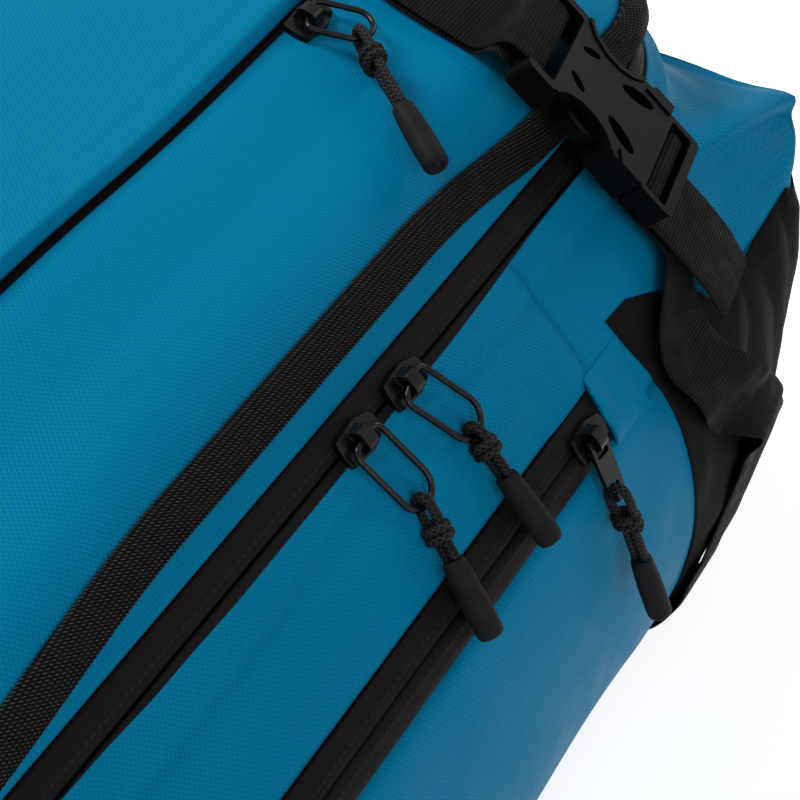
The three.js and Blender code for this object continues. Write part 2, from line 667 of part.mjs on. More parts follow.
// The buckle lies over the sloping gusset. Its x axis points down the slope to the male half, y
// runs across the strap and z away from the bag. z is 0 at the buckle's underside.
const buckle = (() => {
  const x = new THREE.Vector3(
    Math.cos(buckleYaw) * Math.cos(bucklePitch),
    Math.sin(buckleYaw) * Math.cos(bucklePitch),
    -Math.sin(bucklePitch),
  );
  const y = new THREE.Vector3(-Math.sin(buckleYaw), Math.cos(buckleYaw), 0);
  const z = x.clone().cross(y);
  const under = surfaceFrame(uOfY(FRONT_ZIP_INNER, buckleY), FRONT_ZIP_INNER);
  const origin = under.point.clone().addScaledVector(under.out, buckleClearance);
  return { x, y, z, matrix: new THREE.Matrix4().makeBasis(x, y, z).setPosition(origin) };
})();
const inBuckle = (x, y, z) => new THREE.Vector3(x, y, z).applyMatrix4(buckle.matrix);

const femaleStart = -buckleLength / 2;
const femaleBar = 4.5;
const femaleSlot = 6;
const slotHalf = webbing / 2 + 1;

const windowX = -8; // middle of the side windows
const windowHalf = 12.5;
const windowDepth = 7.6;
const windowOut = 2.2; // from the buckle's side out to the middle of the window's ellipse
const rimWidth = 1.5;
const rimRise = 0.7;
const cheekRise = 0.8;

function femaleHalf() {
  const w = buckleWidth / 2;
  const outline = roundedRectangle(femaleStart, mouthX, -w, w, 2.5);
  let body = solid(prism(outline, 0, buckleThick, 3));
  const cut = (shape, z0, z1, segments = 5) => {
    body = body.subtract(solid(prism(shape, z0, z1, segments)));
  };
  const window = (s, grow) =>
    ellipse(windowX, s * (w + windowOut), windowHalf + grow, windowDepth + grow);
  const blank = solid(prism(outline, 0, buckleThick + rimRise, 3));
  [-1, 1].forEach((s) => {
    // A raised rim round each side window, and a thicker cheek on each side of the mouth.
    const rim = solid(prism(window(s, rimWidth), buckleThick - 1, buckleThick + rimRise, 7));
    body = body.add(rim.intersect(blank));
    const cheek = [[6.5, w - 3.4], [9.5, w + cheekRise], [mouthX, w + cheekRise], [mouthX, w - 3.4]];
    const shape = polygon(cheek.map(([x, y]) => [x, s * y]));
    body = body.add(solid(prism(shape, 0, buckleThick + cheekRise)));
  });
  const slotX = femaleStart + femaleBar;
  cut(roundedRectangle(slotX, slotX + femaleSlot, -slotHalf, slotHalf, 1.2), -1, buckleThick + 1);
  // The bar that the webbing loops round is thinner than the body.
  const recess = roundedRectangle(femaleStart - 1, slotX + 1, -slotHalf, slotHalf, 0.5);
  cut(recess, -1, (buckleThick - barThick) / 2);
  cut(recess, (buckleThick + barThick) / 2, buckleThick + 1);
  // The socket, open at the mouth.
  const socketEnd = slotX + femaleSlot + 3;
  const inner = w - 3.5;
  const socket = [[socketEnd, -inner], [mouthX + 1, -w + 2], [mouthX + 1, w - 2], [socketEnd, inner]];
  cut(polygon(socket), bucklePlate, buckleThick - bucklePlate);
  [-1, 1].forEach((s) => {
    // The side windows, where the prongs are squeezed.
    cut(window(s, 0), -1, buckleThick + 3, 7);
    // Small and large lens slots through the upper and lower plates.
    cut(ellipse(-15.5, s * (w - 11.2), 3.8, 1.5, s * 0.42), -1, buckleThick + 1);
    cut(ellipse(5.2, s * (w - 8.9), 7, 2.5, s * 0.3), -1, buckleThick + 1);
  });
  return geometryOf(body);
}

const male = {
  base: mouthX + gap, // where the ladder lock starts
  slotA: mouthX + 2.6, // webbing comes up here
  bar: mouthX + 5.8, // passes over this bar
  slotB: mouthX + 8.4, // and goes down here
  outer: mouthX + 11.6,
  end: buckleLength / 2,
  barZ: [3, 7],
};

function maleHalf() {
  const w = buckleWidth / 2 - 0.6;
  const frame = roundedRectangle(male.base, male.end, -w, w, 2);
  frame.holes.push(roundedRectangle(male.slotA, male.bar, -slotHalf, slotHalf, 0.8));
  frame.holes.push(roundedRectangle(male.slotB, male.outer, -slotHalf, slotHalf, 0.8));
  let body = solid(prism(frame, 1, buckleThick - 1, 3));
  const trim = roundedRectangle(male.bar - 0.01, male.slotB + 0.01, -slotHalf, slotHalf, 0.005);
  body = body.subtract(solid(prism(trim, -1, male.barZ[0], 1)));
  body = body.subtract(solid(prism(trim, male.barZ[1], buckleThick + 1, 1)));
  const z0 = bucklePlate + 0.5;
  const z1 = buckleThick - bucklePlate - 0.5;
  const tongue = polygon([[male.base + 1, -3.2], [male.base + 1, 3.2], [-15, 2], [-17, 0], [-15, -2]]);
  body = body.add(solid(prism(tongue, z0, z1, 1)));
  [-1, 1].forEach((s) => {
    // A prong bows out into the side window behind its shoulder, round a lens-shaped hole.
    const y = (inset) => s * (w - inset);
    const prong = new THREE.Shape();
    prong.moveTo(male.base + 1, y(8.9));
    prong.lineTo(male.base + 1, y(3.3));
    prong.lineTo(0.8, y(3.6));
    prong.quadraticCurveTo(-0.9, y(3.4), -1.8, y(1.6));
    prong.quadraticCurveTo(-3, y(-0.3), -7, y(-0.3));
    prong.quadraticCurveTo(-14.5, y(0.2), -18.2, y(8.2));
    prong.quadraticCurveTo(-19.1, y(10.4), -16.5, y(10.6));
    prong.quadraticCurveTo(-8, y(8), 0, y(8));
    prong.closePath();
    prong.holes.push(ellipse(-8.3, y(4.3), 5.6, 2.1, s * 0.26));
    body = body.add(solid(prism(prong, z0, z1, 4)));
  });
  return geometryOf(body);
}

// The webbing from its lower end under the ladder lock: up, over the bar, down and out as the tail.
const tailLow = 1 - gap - webbingThick / 2;
function strapTail() {
  const over = male.barZ[1] + gap + webbingThick / 2;
  const upX = (male.slotA + male.bar) / 2;
  const downX = (male.slotB + male.outer) / 2;
  const profile = [
    [upX, tailLow - webbingThick / 2], [upX, over - 2.2], [upX + 0.7, over - 0.4],
    [male.bar + 0.3, over], [male.slotB - 0.3, over], [downX - 0.7, over - 0.4],
    [downX, over - 2.2], [downX, tailLow + 2.4], [downX + 0.3, tailLow + 0.8],
    [downX + 1.4, tailLow], [male.end + 1, tailLow],
  ];
  const places = profile.map(([x, z]) => ({ p: inBuckle(x, 0, z), w: buckle.y }));
  // The free end hangs down over the edge of the bag.
  const start = places[places.length - 1].p;
  const down = buckle.x.clone().applyAxisAngle(buckle.y, tailBend);
  [0.35, 0.7, 1].forEach((f) => {
    places.push({ p: start.clone().addScaledVector(down, f * tailLength), w: buckle.y });
  });
  return ribbon(places, webbing, webbingThick);
}

// The sewn end of the same webbing: from under the ladder lock down the side to the back seam.
function loadWebbing() {
  const under = tailLow - webbingThick * 1.5 - gap;
  const upX = (male.slotA + male.bar) / 2;
  const places = [
    { p: inBuckle(upX - 1, 0, under), w: buckle.y },
    { p: inBuckle(male.end - 4, 0, under), w: buckle.y },
  ];
  const across = new THREE.Vector3(0, 1, 0);
  const y = places[1].p.y + 3;
  const clear = wingLift + wingThick + gap + webbingThick / 2;
  const overWing = clear + 0.7;
  const route = [
    [7.5, 2.6], [7, 2.8], [6.5, 4], [6.02, overWing + 1],
    ...[5, 4, 3, 2, 1, 0.3].map((v) => [v, overWing]),
  ];
  route.forEach(([v, height], i) => {
    const w = buckle.y.clone().lerp(across, Math.min(1, (i + 1) / 5)).normalize();
    const { point, out } = surfaceFrame(uOfY(v, y), v);
    const askew = gap + webbingThick / 2 + (Math.abs(w.dot(out)) * webbing) / 2;
    places.push({ p: point.addScaledVector(out, Math.max(height, askew)), w });
  });
  return ribbon(places, webbing, webbingThick);
}

// One webbing over the front, from buckle to buckle. It is looped round each female half's bar and
// sewn back on itself.
function frontStrap() {
  const t = webbingThick / 2;
  const barEnd = femaleStart + femaleBar;
  const midZ = buckleThick / 2;
  const reach = barThick / 2 + gap + t;
  const loop = [
    [femaleStart - 5, midZ - reach], [femaleStart + 0.4, midZ - reach],
    [barEnd - 0.6, midZ - reach], [barEnd + reach * 0.55, midZ - reach * 0.66],
    [barEnd + gap + t + 0.2, midZ], [barEnd + reach * 0.55, midZ + reach * 0.66],
    [barEnd - 0.6, midZ + reach], [femaleStart + 0.4, midZ + reach],
    [femaleStart - 5, midZ + reach * 0.85],
  ].map(([x, z]) => ({ p: inBuckle(x, 0, z), w: buckle.y }));
  const across = new THREE.Vector3(0, 1, 0);
  const y = loop[0].p.y + strapShift;
  const height = (x) => Math.max(coverHeight(x, y - webbing / 2), coverHeight(x, y + webbing / 2));
  const onFront = (x, extra) => ({
    p: new THREE.Vector3(x, y, height(x) + gap + t + extra),
    w: across,
  });
  const two = webbingThick + gap;
  // Where the strap is one layer it is the upper one, which steps down past the sewn end.
  const half = [
    onFront(66, 1.6), onFront(84, 1.4), onFront(97, 1.6),
    ...loop,
    onFront(97, 1.6 + two), onFront(84, 1.4 + two), onFront(66, 1.6 + two),
    onFront(pocketEdgeX + 8, 3.4), onFront(pocketEdgeX - 2, 0.9), onFront(20, 0.5),
  ];
  const left = half.map(({ p, w }) => ({
    p: new THREE.Vector3(-p.x, p.y, onLeft(p, y)),
    w: new THREE.Vector3(-w.x, w.y, w.z),
  }));
  return ribbon([...half, onFront(0, 0.5), ...left.reverse()], webbing, webbingThick);
}

// The strap's left half mirrors its right half, raised by the pocket where it lies on it.
function onLeft(p, y) {
  const here = Math.abs(p.y - y) < 0.01 && p.x < 100;
  if (!here || p.x > levels[BINDING_INNER].hx - 14) return p.z;
  return p.z + Math.max(0, coverHeight(-p.x, y) - coverHeight(p.x, y)) * (p.x < pocketEdgeX ? 0 : 1);
}

function buckles() {
  // The left buckle is the right one's mirror image, so both halves are mirrored in place.
  addPair('buckle_female', femaleHalf().applyMatrix4(buckle.matrix), 'plastic');
  addPair('buckle_male', maleHalf().applyMatrix4(buckle.matrix), 'plastic');
  addPair('strap_tail', strapTail(), 'webbing');
  addPair('load_webbing', loadWebbing(), 'webbing');
  add('front_strap', frontStrap(), 'webbing');
}

// ---------------------------------------------------------------- sliders, pulls and cords

// Each slider's frame has x across the zip, the way its pull hangs, y along the zip and z outwards,
// with z 0 on the panels' surface.
function sliderFrame(side, v, y) {
  const f = surfaceFrame(uOfY(v, y, side), v);
  const x = f.up.clone().negate();
  return new THREE.Matrix4().makeBasis(x, f.out.clone().cross(x), f.out).setPosition(f.point);
}
const plateZ = tapeRise + gap;
const plateThick = 2;
const eyeRadius = wireDiameter / 2 + 0.5;
const eyeSlack = 0.9; // the eye is longer than round, so that a pull can lie askew
const crownWall = 1.1;
const crownHalf = 2.2;
const crownZ = plateZ + plateThick + eyeRadius + cordDiameter / 2 - 0.9; // height of the pull's pivot

function sliderBody() {
  const plate = new THREE.Shape();
  plate.moveTo(-3.4, 8);
  plate.quadraticCurveTo(0, 9.6, 3.4, 8);
  plate.lineTo(5.3, 2.5);
  plate.lineTo(4.4, -7);
  plate.quadraticCurveTo(0, -8.4, -4.4, -7);
  plate.lineTo(-5.3, 2.5);
  plate.closePath();
  const body = solid(prism(plate, plateZ, plateZ + plateThick, 3));
  // The crown bridges the plate, with an eye through it along the zip.
  const crown = new THREE.Shape();
  const half = eyeSlack + eyeRadius + crownWall;
  const top = crownZ + eyeRadius + crownWall;
  crown.moveTo(-half - 1.2, plateZ + 1);
  crown.lineTo(-half, crownZ);
  crown.quadraticCurveTo(-half, top, -eyeSlack, top);
  crown.lineTo(eyeSlack, top);
  crown.quadraticCurveTo(half, top, half, crownZ);
  crown.lineTo(half + 1.2, plateZ + 1);
  crown.closePath();
  const eye = new THREE.Path();
  eye.absarc(eyeSlack, crownZ, eyeRadius, -Math.PI / 2, Math.PI / 2);
  eye.absarc(-eyeSlack, crownZ, eyeRadius, Math.PI / 2, Math.PI * 1.5);
  crown.holes.push(eye);
  const arch = new THREE.ExtrudeGeometry(crown, {
    depth: 2 * crownHalf, bevelEnabled: false, curveSegments: 4,
  });
  arch.rotateX(Math.PI / 2).translate(0, crownHalf, 0);
  return geometryOf(body.add(solid(arch)));
}

// A closed wire ring through the crown's eye, lying along x.
const ringHalf = (ringWidth - wireDiameter) / 2;
function wireRing(length) {
  const points = [];
  const arc = (cx, cy, r, from, to, n) => {
    steps(from, to, n).forEach((a) => {
      points.push(new THREE.Vector3(cx + r * Math.cos(a), cy + r * Math.sin(a), crownZ));
    });
  };
  const r = 2.6;
  arc(r, -ringHalf + r, r, -Math.PI, -Math.PI / 2, 2);
  arc(length - ringWidth / 2, 0, ringHalf, -Math.PI / 2, Math.PI / 2, 8);
  arc(r, ringHalf - r, r, Math.PI / 2, Math.PI, 2);
  const sides = 8;
  const count = points.length;
  const skin = [];
  const triangles = [];
  points.forEach((p, i) => {
    const along = points[(i + 1) % count].clone().sub(points[(i + count - 1) % count]).normalize();
    const up = new THREE.Vector3(0, 0, 1);
    const out = along.clone().cross(up);
    for (let k = 0; k < sides; k += 1) {
      const a = (k / sides) * Math.PI * 2;
      const x = (wireDiameter / 2) * Math.cos(a);
      skin.push(p.clone().addScaledVector(out, x).addScaledVector(up, (wireDiameter / 2) * Math.sin(a)));
      const [b, c] = [(k + 1) % sides, ((i + 1) % count) * sides];
      triangles.push([i * sides + k, c + k, c + b], [i * sides + k, c + b, i * sides + b]);
    }
  });
  return fromTriangles(skin, triangles);
}

// A flat pull tab. Its end bar lies in the crown's eye, inside a window round the crown, and the
// cord goes through the hole at its far end.
const tabHole = cordDiameter / 2 + 0.7;
const tabHoleX = tabLength - tabHole - 2.6;
const tabLift = cordDiameter + 1.9; // of the tab's far end over the bag
function pullTab() {
  const w = tabWidth / 2;
  const bar = wireDiameter / 2;
  const shape = new THREE.Shape();
  shape.moveTo(-bar, -w);
  shape.lineTo(tabLength - w + 0.6, -w + 0.6);
  shape.absarc(tabLength - w + 0.6, 0, w - 0.6, -Math.PI / 2, Math.PI / 2);
  shape.lineTo(-bar, w);
  shape.closePath();
  const crownEnd = 2 * eyeSlack + eyeRadius + crownWall + 1.6;
  shape.holes.push(roundedRectangle(bar, crownEnd, -crownHalf - 0.7, crownHalf + 0.7, 0.6));
  const hole = new THREE.Path();
  hole.absarc(tabHoleX, 0, tabHole, 0, Math.PI * 2);
  shape.holes.push(hole);
  return mergeVertices(bare(prism(shape, crownZ - 0.7, crownZ + 0.7, 5)), 1e-4);
}

// A cord doubled round a wire or bar at x 0, both its strands running on to the moulded end.
function pullCord(length, bar) {
  const turn = bar + gap + cordDiameter / 2;
  const close = cordDiameter / 2 + gap;
  const side = [
    [length, close], [length - 4, close + 0.1], [turn + 1.5, turn], [0.8, turn], [-turn * 0.75, turn * 0.75],
  ];
  const path = [...side, [-turn - 0.3, 0], ...side.map(([x, z]) => [x, -z]).reverse()];
  const circle = new THREE.Shape();
  circle.absarc(0, 0, cordDiameter / 2, 0, Math.PI * 2);
  const curve = new THREE.CatmullRomCurve3(path.map(([x, z]) => new THREE.Vector3(x, 0, z)));
  const geometry = new THREE.ExtrudeGeometry(circle, {
    steps: 24, curveSegments: 4, bevelEnabled: false, extrudePath: curve,
  });
  return mergeVertices(bare(geometry), 1e-4);
}

function cordEnd() {
  const r = endDiameter / 2;
  const profile = [
    [0, 0], [r - 1.1, 0], [r - 0.6, 0.7], [r, endLength * 0.45], [r, endLength - 1.2],
    [r - 0.6, endLength - 0.3], [r - 1.3, endLength], [0, endLength],
  ];
  const lathe = new THREE.LatheGeometry(profile.map(([x, y]) => new THREE.Vector2(x, y)), 12);
  return mergeVertices(bare(lathe.rotateZ(-Math.PI / 2)), 1e-4);
}

// A slider with its pull, cord and moulded end. The pull droops towards the bag and swings to one
// side, and so does the cord from the pull's far end.
function zipSlider(name, matrix, { tab = false, swing = 0, droop = 0, cordSwing = 0, cordDroop = 0, cord = 16, ring = ringLength }) {
  const shift = (x, z) => new THREE.Matrix4().makeTranslation(x, 0, z);
  const turn = (about, angle) => new THREE.Matrix4()[`makeRotation${about}`](angle);
  const chain = (...list) => list.reduce((all, m) => all.multiply(m), matrix.clone());
  const pivot = [shift(0, crownZ), turn('Y', droop), turn('Z', swing)];
  const grip = tab ? [shift(tabHoleX + tabHole + 1.3, 0)] : [shift(ring - ringWidth / 2, 0)];
  const hang = [...pivot, ...grip, turn('Z', cordSwing), shift(tab ? 0 : ringHalf, 0), turn('Y', cordDroop)];
  add(`${name}_slider`, sliderBody().applyMatrix4(matrix), 'metal');
  const pull = tab ? pullTab() : wireRing(ring);
  add(`${name}_pull`, pull.applyMatrix4(chain(...pivot, shift(0, -crownZ))), 'metal');
  add(`${name}_cord`, pullCord(cord, tab ? 1.5 : wireDiameter / 2).applyMatrix4(chain(...hang)), 'cord');
  add(`${name}_cord_end`, cordEnd().applyMatrix4(chain(...hang, shift(cord + gap, 0))), 'rubber');
}

// The droop that brings a point, a distance down from a slider's pivot, to a height over the bag.
function droopAlong(seat, distance, height) {
  const local = seat.clone().invert();
  const pivot = new THREE.Vector3(0, 0, crownZ);
  const world = pivot.clone().applyMatrix4(seat);
  let best = { error: Infinity, droop: 0 };
  steps(0.5, SIDE_ZIP_OUTER, 110).forEach((v) => {
    const over = surfaceOffset(uOfY(v, world.y), v, height).applyMatrix4(local).sub(pivot);
    const error = Math.abs(Math.hypot(over.x, over.z) - distance);
    if (error < best.error) best = { error, droop: Math.atan2(-over.z, over.x) };
  });
  return best.droop;
}

function sliders() {
  const front = (y) => sliderFrame(1, FRONT_ZIP_LINE, y);
  zipSlider('upper', front(upperSliderY), { swing: 0.36, cordSwing: -0.4, cord: 14 });
  zipSlider('lower', front(lowerSliderY), { swing: 0.14, cordSwing: -0.36, cord: 16 });
  const middle = (SIDE_ZIP_OUTER + SIDE_ZIP_INNER) / 2;
  const sideCord = 25;
  const seat = sliderFrame(1, middle, sideSliderY);
  const droop = droopAlong(seat, tabHoleX, tabLift);
  const cordDroop = Math.min(
    droopAlong(seat, tabHoleX + sideCord + endLength, endDiameter / 2 + 2),
    droopAlong(seat, tabHoleX + sideCord, cordDiameter / 2 + 3),
  ) - droop;
  const side = { tab: true, droop, cordDroop, cord: sideCord };
  zipSlider('side_right', seat, { ...side, swing: -0.08, cordSwing: 0.1 });
  zipSlider('side_left', sliderFrame(-1, middle, sideSliderY), { ...side, swing: 0.08, cordSwing: -0.1 });
  const onTape = (x) => new THREE.Vector3(x, pocketSliderY, frontHeight(x, pocketSliderY) + gap);
  const across = onTape(pocketLineX + 5).sub(onTape(pocketLineX)).normalize();
  const up = new THREE.Vector3(0, 1, 0);
  const onPocket = new THREE.Matrix4().makeBasis(across, up, across.clone().cross(up));
  zipSlider('pocket', onPocket.setPosition(onTape(pocketLineX)), { swing: 0.42, cordSwing: -1, cord: 28, ring: pocketRing });
}

bodyPanels();
gussets();
sideZips();
frontZip();
cornerWings();
backPanel();
harness();
haulLoop();
lidPanels();
pocket();
buckles();
sliders();

export default bag;
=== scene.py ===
"""A ski boot bag lying on its back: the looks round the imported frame. Metres, +Z up."""
import json
import math

import bmesh
import bpy
import numpy as np
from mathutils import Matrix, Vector
from mathutils.bvhtree import BVHTree

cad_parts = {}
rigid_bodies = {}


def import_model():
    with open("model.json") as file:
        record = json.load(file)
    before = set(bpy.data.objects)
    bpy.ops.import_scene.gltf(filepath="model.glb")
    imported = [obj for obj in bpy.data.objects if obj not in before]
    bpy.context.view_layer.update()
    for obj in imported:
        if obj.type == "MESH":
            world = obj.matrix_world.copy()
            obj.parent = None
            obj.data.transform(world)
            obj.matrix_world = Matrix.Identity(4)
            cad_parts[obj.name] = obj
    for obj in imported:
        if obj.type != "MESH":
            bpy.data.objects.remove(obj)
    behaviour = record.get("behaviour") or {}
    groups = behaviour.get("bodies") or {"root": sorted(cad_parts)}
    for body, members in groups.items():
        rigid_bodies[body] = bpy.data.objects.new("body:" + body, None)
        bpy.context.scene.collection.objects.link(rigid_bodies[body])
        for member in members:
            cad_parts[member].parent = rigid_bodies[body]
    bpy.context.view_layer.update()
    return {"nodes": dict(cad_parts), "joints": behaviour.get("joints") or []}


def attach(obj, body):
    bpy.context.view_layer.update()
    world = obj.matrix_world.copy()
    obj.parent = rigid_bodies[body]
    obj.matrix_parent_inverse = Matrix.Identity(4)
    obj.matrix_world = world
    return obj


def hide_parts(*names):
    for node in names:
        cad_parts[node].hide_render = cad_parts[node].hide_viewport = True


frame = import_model()
MM = 0.001
SHIFT = np.array([0, -12, 0])  # from the bag's own middle to the frame's, in mm
SIDES = ((1, "right"), (-1, "left"))
TURN = 2 * math.pi
UP = np.array([0, 0, 1.0])


def having(thing, **settings):
    for key, value in settings.items():
        setattr(thing, key, value)
    return thing


def put(name, data):
    """A new object in the scene."""
    thing = bpy.data.objects.new(name, data)
    bpy.context.scene.collection.objects.link(thing)
    return thing


def aim(thing, place, way):
    turn = Vector(way).to_track_quat("-Z", "Y")
    having(thing, location=place, rotation_mode="QUATERNION", rotation_quaternion=turn)


camera = put("camera", bpy.data.cameras.new("camera"))
having(camera.data, sensor_width=36, lens=90.45)
aim(camera, (0.329, -0.303, 0.615), (-0.3531, 0.5879, -0.7278))
bpy.context.scene.camera = camera
bpy.context.scene.view_settings.view_transform = "Standard"

# ---- the bag's surface, in mm

HALF_WIDTH, HALF_LENGTH = 191.5, 250
BACK_PANEL_Z, BACK_THICK, BACK_SEAM_Z = 12.7, 13.8, 26.85
BACK_CORNER_X, BACK_CORNER_Y = 46, 44
BODY_DEPTH, ROOF_DEPTH = 144.7, 89.8
GAP, HALF_GAP, CLOTH_THICK = 0.35, 0.3, 2.4
LEVEL_TABLE = [  # share of the body's height, past 1 of the roof's; inset in x and y; corner radii
    (0, 19.5, 16, BACK_CORNER_X, BACK_CORNER_Y), (0.1, 8.5, 6, 46, 44), (0.26, 2.5, 2, 60, 42),
    (0.47, 0, 0.5, 66, 40), (0.64, 1, 0, 70, 36), (0.85, 6.5, 0, 58, 28), (1, 14.9, 2, 36, 20),
    (1.154, 25.7, 6, 7, 18), (1.31, 37.9, 10.5, 60, 22), (1.458, 51.2, 14.5, 68, 28),
    (1.532, 57.5, 18, 64, 31), (1.608, 63.8, 21, 50, 33), (1.657, 68.2, 24.5, 34, 34),
    (1.755, 78, 34, 32, 32), (1.844, 91.5, 48, 28, 28), (1.916, 115.5, 74, 22, 22),
    (1.975, 139.5, 100, 16, 16), (2, 165.5, 128, 10, 10), (2.004, 190.5, 153, 1, 1),
]
SIDE_OUT, SIDE_IN = 6, 7  # levels where the pieces meet
ZIP_OUT, ZIP_LINE, ZIP_IN, BIND_OUT, BIND_IN, MIDDLE = 9, 10, 11, 12, 13, 18
STRIP = 9.5  # the level whose run sets how the strip beside the front zip is divided
ZIP_END_Y, SIDE_TOP_Y = -200, 92


def level_row(share, in_x, in_y, top, low):
    z = BACK_SEAM_Z + min(share, 1) * BODY_DEPTH + max(share - 1, 0) * ROOF_DEPTH
    return HALF_WIDTH - in_x, HALF_LENGTH - in_y, top, low, z


def together(*parts):
    return np.stack(np.broadcast_arrays(*parts), -1)


def run(points):
    """How far along each of a row of points is, for one row or for many side by side."""
    steps = np.linalg.norm(np.diff(points, axis=0), axis=-1)
    return np.concatenate([0 * steps[:1], np.cumsum(steps, axis=0)])


LEVELS = np.array([level_row(*row) for row in LEVEL_TABLE], float)
ARC = run(LEVELS[:, [0, 4]])


def slopes(x, y):
    """Slopes at each place for a smooth curve that doesn't overshoot."""
    h, d = np.diff(x), np.diff(y) / np.diff(x)
    m = np.zeros_like(y)
    w1, w2 = 2 * h[1:] + h[:-1], h[1:] + 2 * h[:-1]
    with np.errstate(divide="ignore", invalid="ignore"):
        inner = (w1 + w2) / (w1 / d[:-1] + w2 / d[1:])
    m[1:-1] = np.where(d[:-1] * d[1:] > 0, inner, 0)
    m[0], m[-1] = d[0], d[-1]
    return m


SLOPES = np.stack([slopes(ARC, LEVELS[:, k]) for k in range(5)], 1)


def hermite(a, b, slope_a, slope_b, h, t):
    """The smooth curve from a to b with these slopes, at the share t of a stretch h."""
    return ((2 * t**3 - 3 * t**2 + 1) * a + (t**3 - 2 * t**2 + t) * h * slope_a
            + (3 * t**2 - 2 * t**3) * b + (t**3 - t**2) * h * slope_b)


def level_at(v):
    """Half width, half length, both corner radii and height at v, which counts the levels."""
    v = np.clip(np.asarray(v, float), 0, len(LEVELS) - 1.0001)
    i = v.astype(int)
    h, t = (ARC[i + 1] - ARC[i])[..., None], (v - i)[..., None]
    return hermite(LEVELS[i], LEVELS[i + 1], SLOPES[i], SLOPES[i + 1], h, t)


def rounded(u, hx, hy, top, low):
    """A rounded rectangle. u runs once round it, 0 to 8: a side, a corner, and so on."""
    u = np.asarray(u, float) % 8
    side = (u // 2).astype(int)
    f = u - 2 * side
    across, along = np.where(side % 2, hy, hx), np.where(side % 2, hx, hy)
    before = np.where((side == 0) | (side == 3), low, top)
    r = np.where(side < 2, top, low)
    angle = (np.clip(f, 1, 2) - 1) * math.pi / 2
    straight = np.clip(f, 0, 1)
    x = across - r + r * np.cos(angle)
    y = (before - along) * (1 - straight) + (along - r) * straight + r * np.sin(angle)
    c, s = np.cos(side * math.pi / 2), np.sin(side * math.pi / 2)
    return x * c - y * s, x * s + y * c


def surface(u, v):
    *row, z = np.moveaxis(level_at(v), -1, 0)
    return together(*rounded(u, *row), z)


def unit(v):
    return v / np.maximum(np.linalg.norm(v, axis=-1, keepdims=True), 1e-9)


def on_surface(u, v):
    """Places on the surface, and the ways out from it."""
    u, v = np.broadcast_arrays(u, v)
    up = surface(u, np.minimum(v + 0.02, MIDDLE)) - surface(u, np.maximum(v - 0.02, 0))
    along = surface(u + 0.01, v) - surface(u - 0.01, v)
    return surface(u, v), unit(np.cross(unit(along), unit(up)))


def u_of_y(v, y, side=1):
    _, hy, top, low, _ = np.moveaxis(level_at(v), -1, 0)
    f = (y + hy - low) / (2 * hy - low - top)
    return f if side > 0 else 5 - f


def arc_of(v):
    return np.interp(v, np.arange(len(ARC)), ARC)


def v_of(arc):
    return np.interp(arc, ARC, np.arange(len(ARC)))


def v_above(level, distance):
    return v_of(ARC[level] + distance)


def u_list(from_u, to_u, step, v):
    """u values from one to another, about a step in mm apart."""
    fine = np.linspace(from_u, to_u, 2000)
    s = run(surface(fine, v))
    return np.interp(np.linspace(0, s[-1], max(3, int(s[-1] / step))), s, fine)


def ring_u(step, v):
    return u_list(0, 8, step, v)[:-1]


def v_list(from_v, to_v, step):
    fine = np.linspace(from_v, to_v, 600)
    s = arc_of(fine)
    return np.interp(np.linspace(s[0], s[-1], max(4, int((s[-1] - s[0]) / step) + 1)), s, fine)


def smooth(a, b, x):
    t = np.clip((np.asarray(x, float) - a) / (b - a), 0, 1)
    return t * t * (3 - 2 * t)


def within(a, b, c, d, x):
    """1 from b to c, falling to 0 at a and at d."""
    return smooth(a, b, x) * (1 - smooth(c, d, x))


def bell(x, width, middle=0):
    return np.exp(-(((x - middle) / width) ** 2))


def waves(p, size, seed):
    """A smooth uneven field over points p in mm, about -1 to 1, from a few fixed sine waves."""
    rng = np.random.default_rng(seed)
    total = 0
    for _ in range(7):
        d = unit(rng.normal(size=3))
        length = size * (0.6 + 0.9 * rng.random())
        total = total + np.sin(p @ d * (TURN / length) + 6.3 * rng.random())
    return total / 3.2


# ---- materials


class Nodes:
    """The nodes of a material or of the world, with short calls for their arithmetic."""

    def __init__(self, data, main):
        data.use_nodes = True
        self.tree = data.node_tree
        self.main = self.tree.nodes[main]

    def node(self, kind, *values, **settings):
        n = having(self.tree.nodes.new(kind), **settings)
        for socket, value in zip(n.inputs, values):
            self.give(socket, value)
        return n

    def give(self, socket, value):
        if isinstance(value, bpy.types.NodeSocket):
            self.tree.links.new(value, socket)
        else:
            socket.default_value = value

    def fill(self, node, values):
        """Sets a node's inputs, by name or by number."""
        for key, value in values.items():
            self.give(node.inputs[key], value)
        return node.outputs

    def set(self, name, value):
        self.give(self.main.inputs[name], value)

    def math(self, kind, *values):
        return self.node("ShaderNodeMath", *values, operation=kind).outputs[0]

    def add(self, a, b):
        return self.math("ADD", a, b)

    def less(self, a, b):
        return self.math("SUBTRACT", a, b)

    def mul(self, *values):
        """a times b, plus c where there is one."""
        return self.math("MULTIPLY_ADD" if values[2:] else "MULTIPLY", *values)

    def seen(self):
        """1 for rays that come straight from the camera, or by way of a shiny or clear surface."""
        rays = self.node("ShaderNodeLightPath").outputs
        shiny = self.math("MAXIMUM", rays["Is Camera Ray"], rays["Is Glossy Ray"])
        return self.math("MAXIMUM", shiny, rays["Is Transmission Ray"])


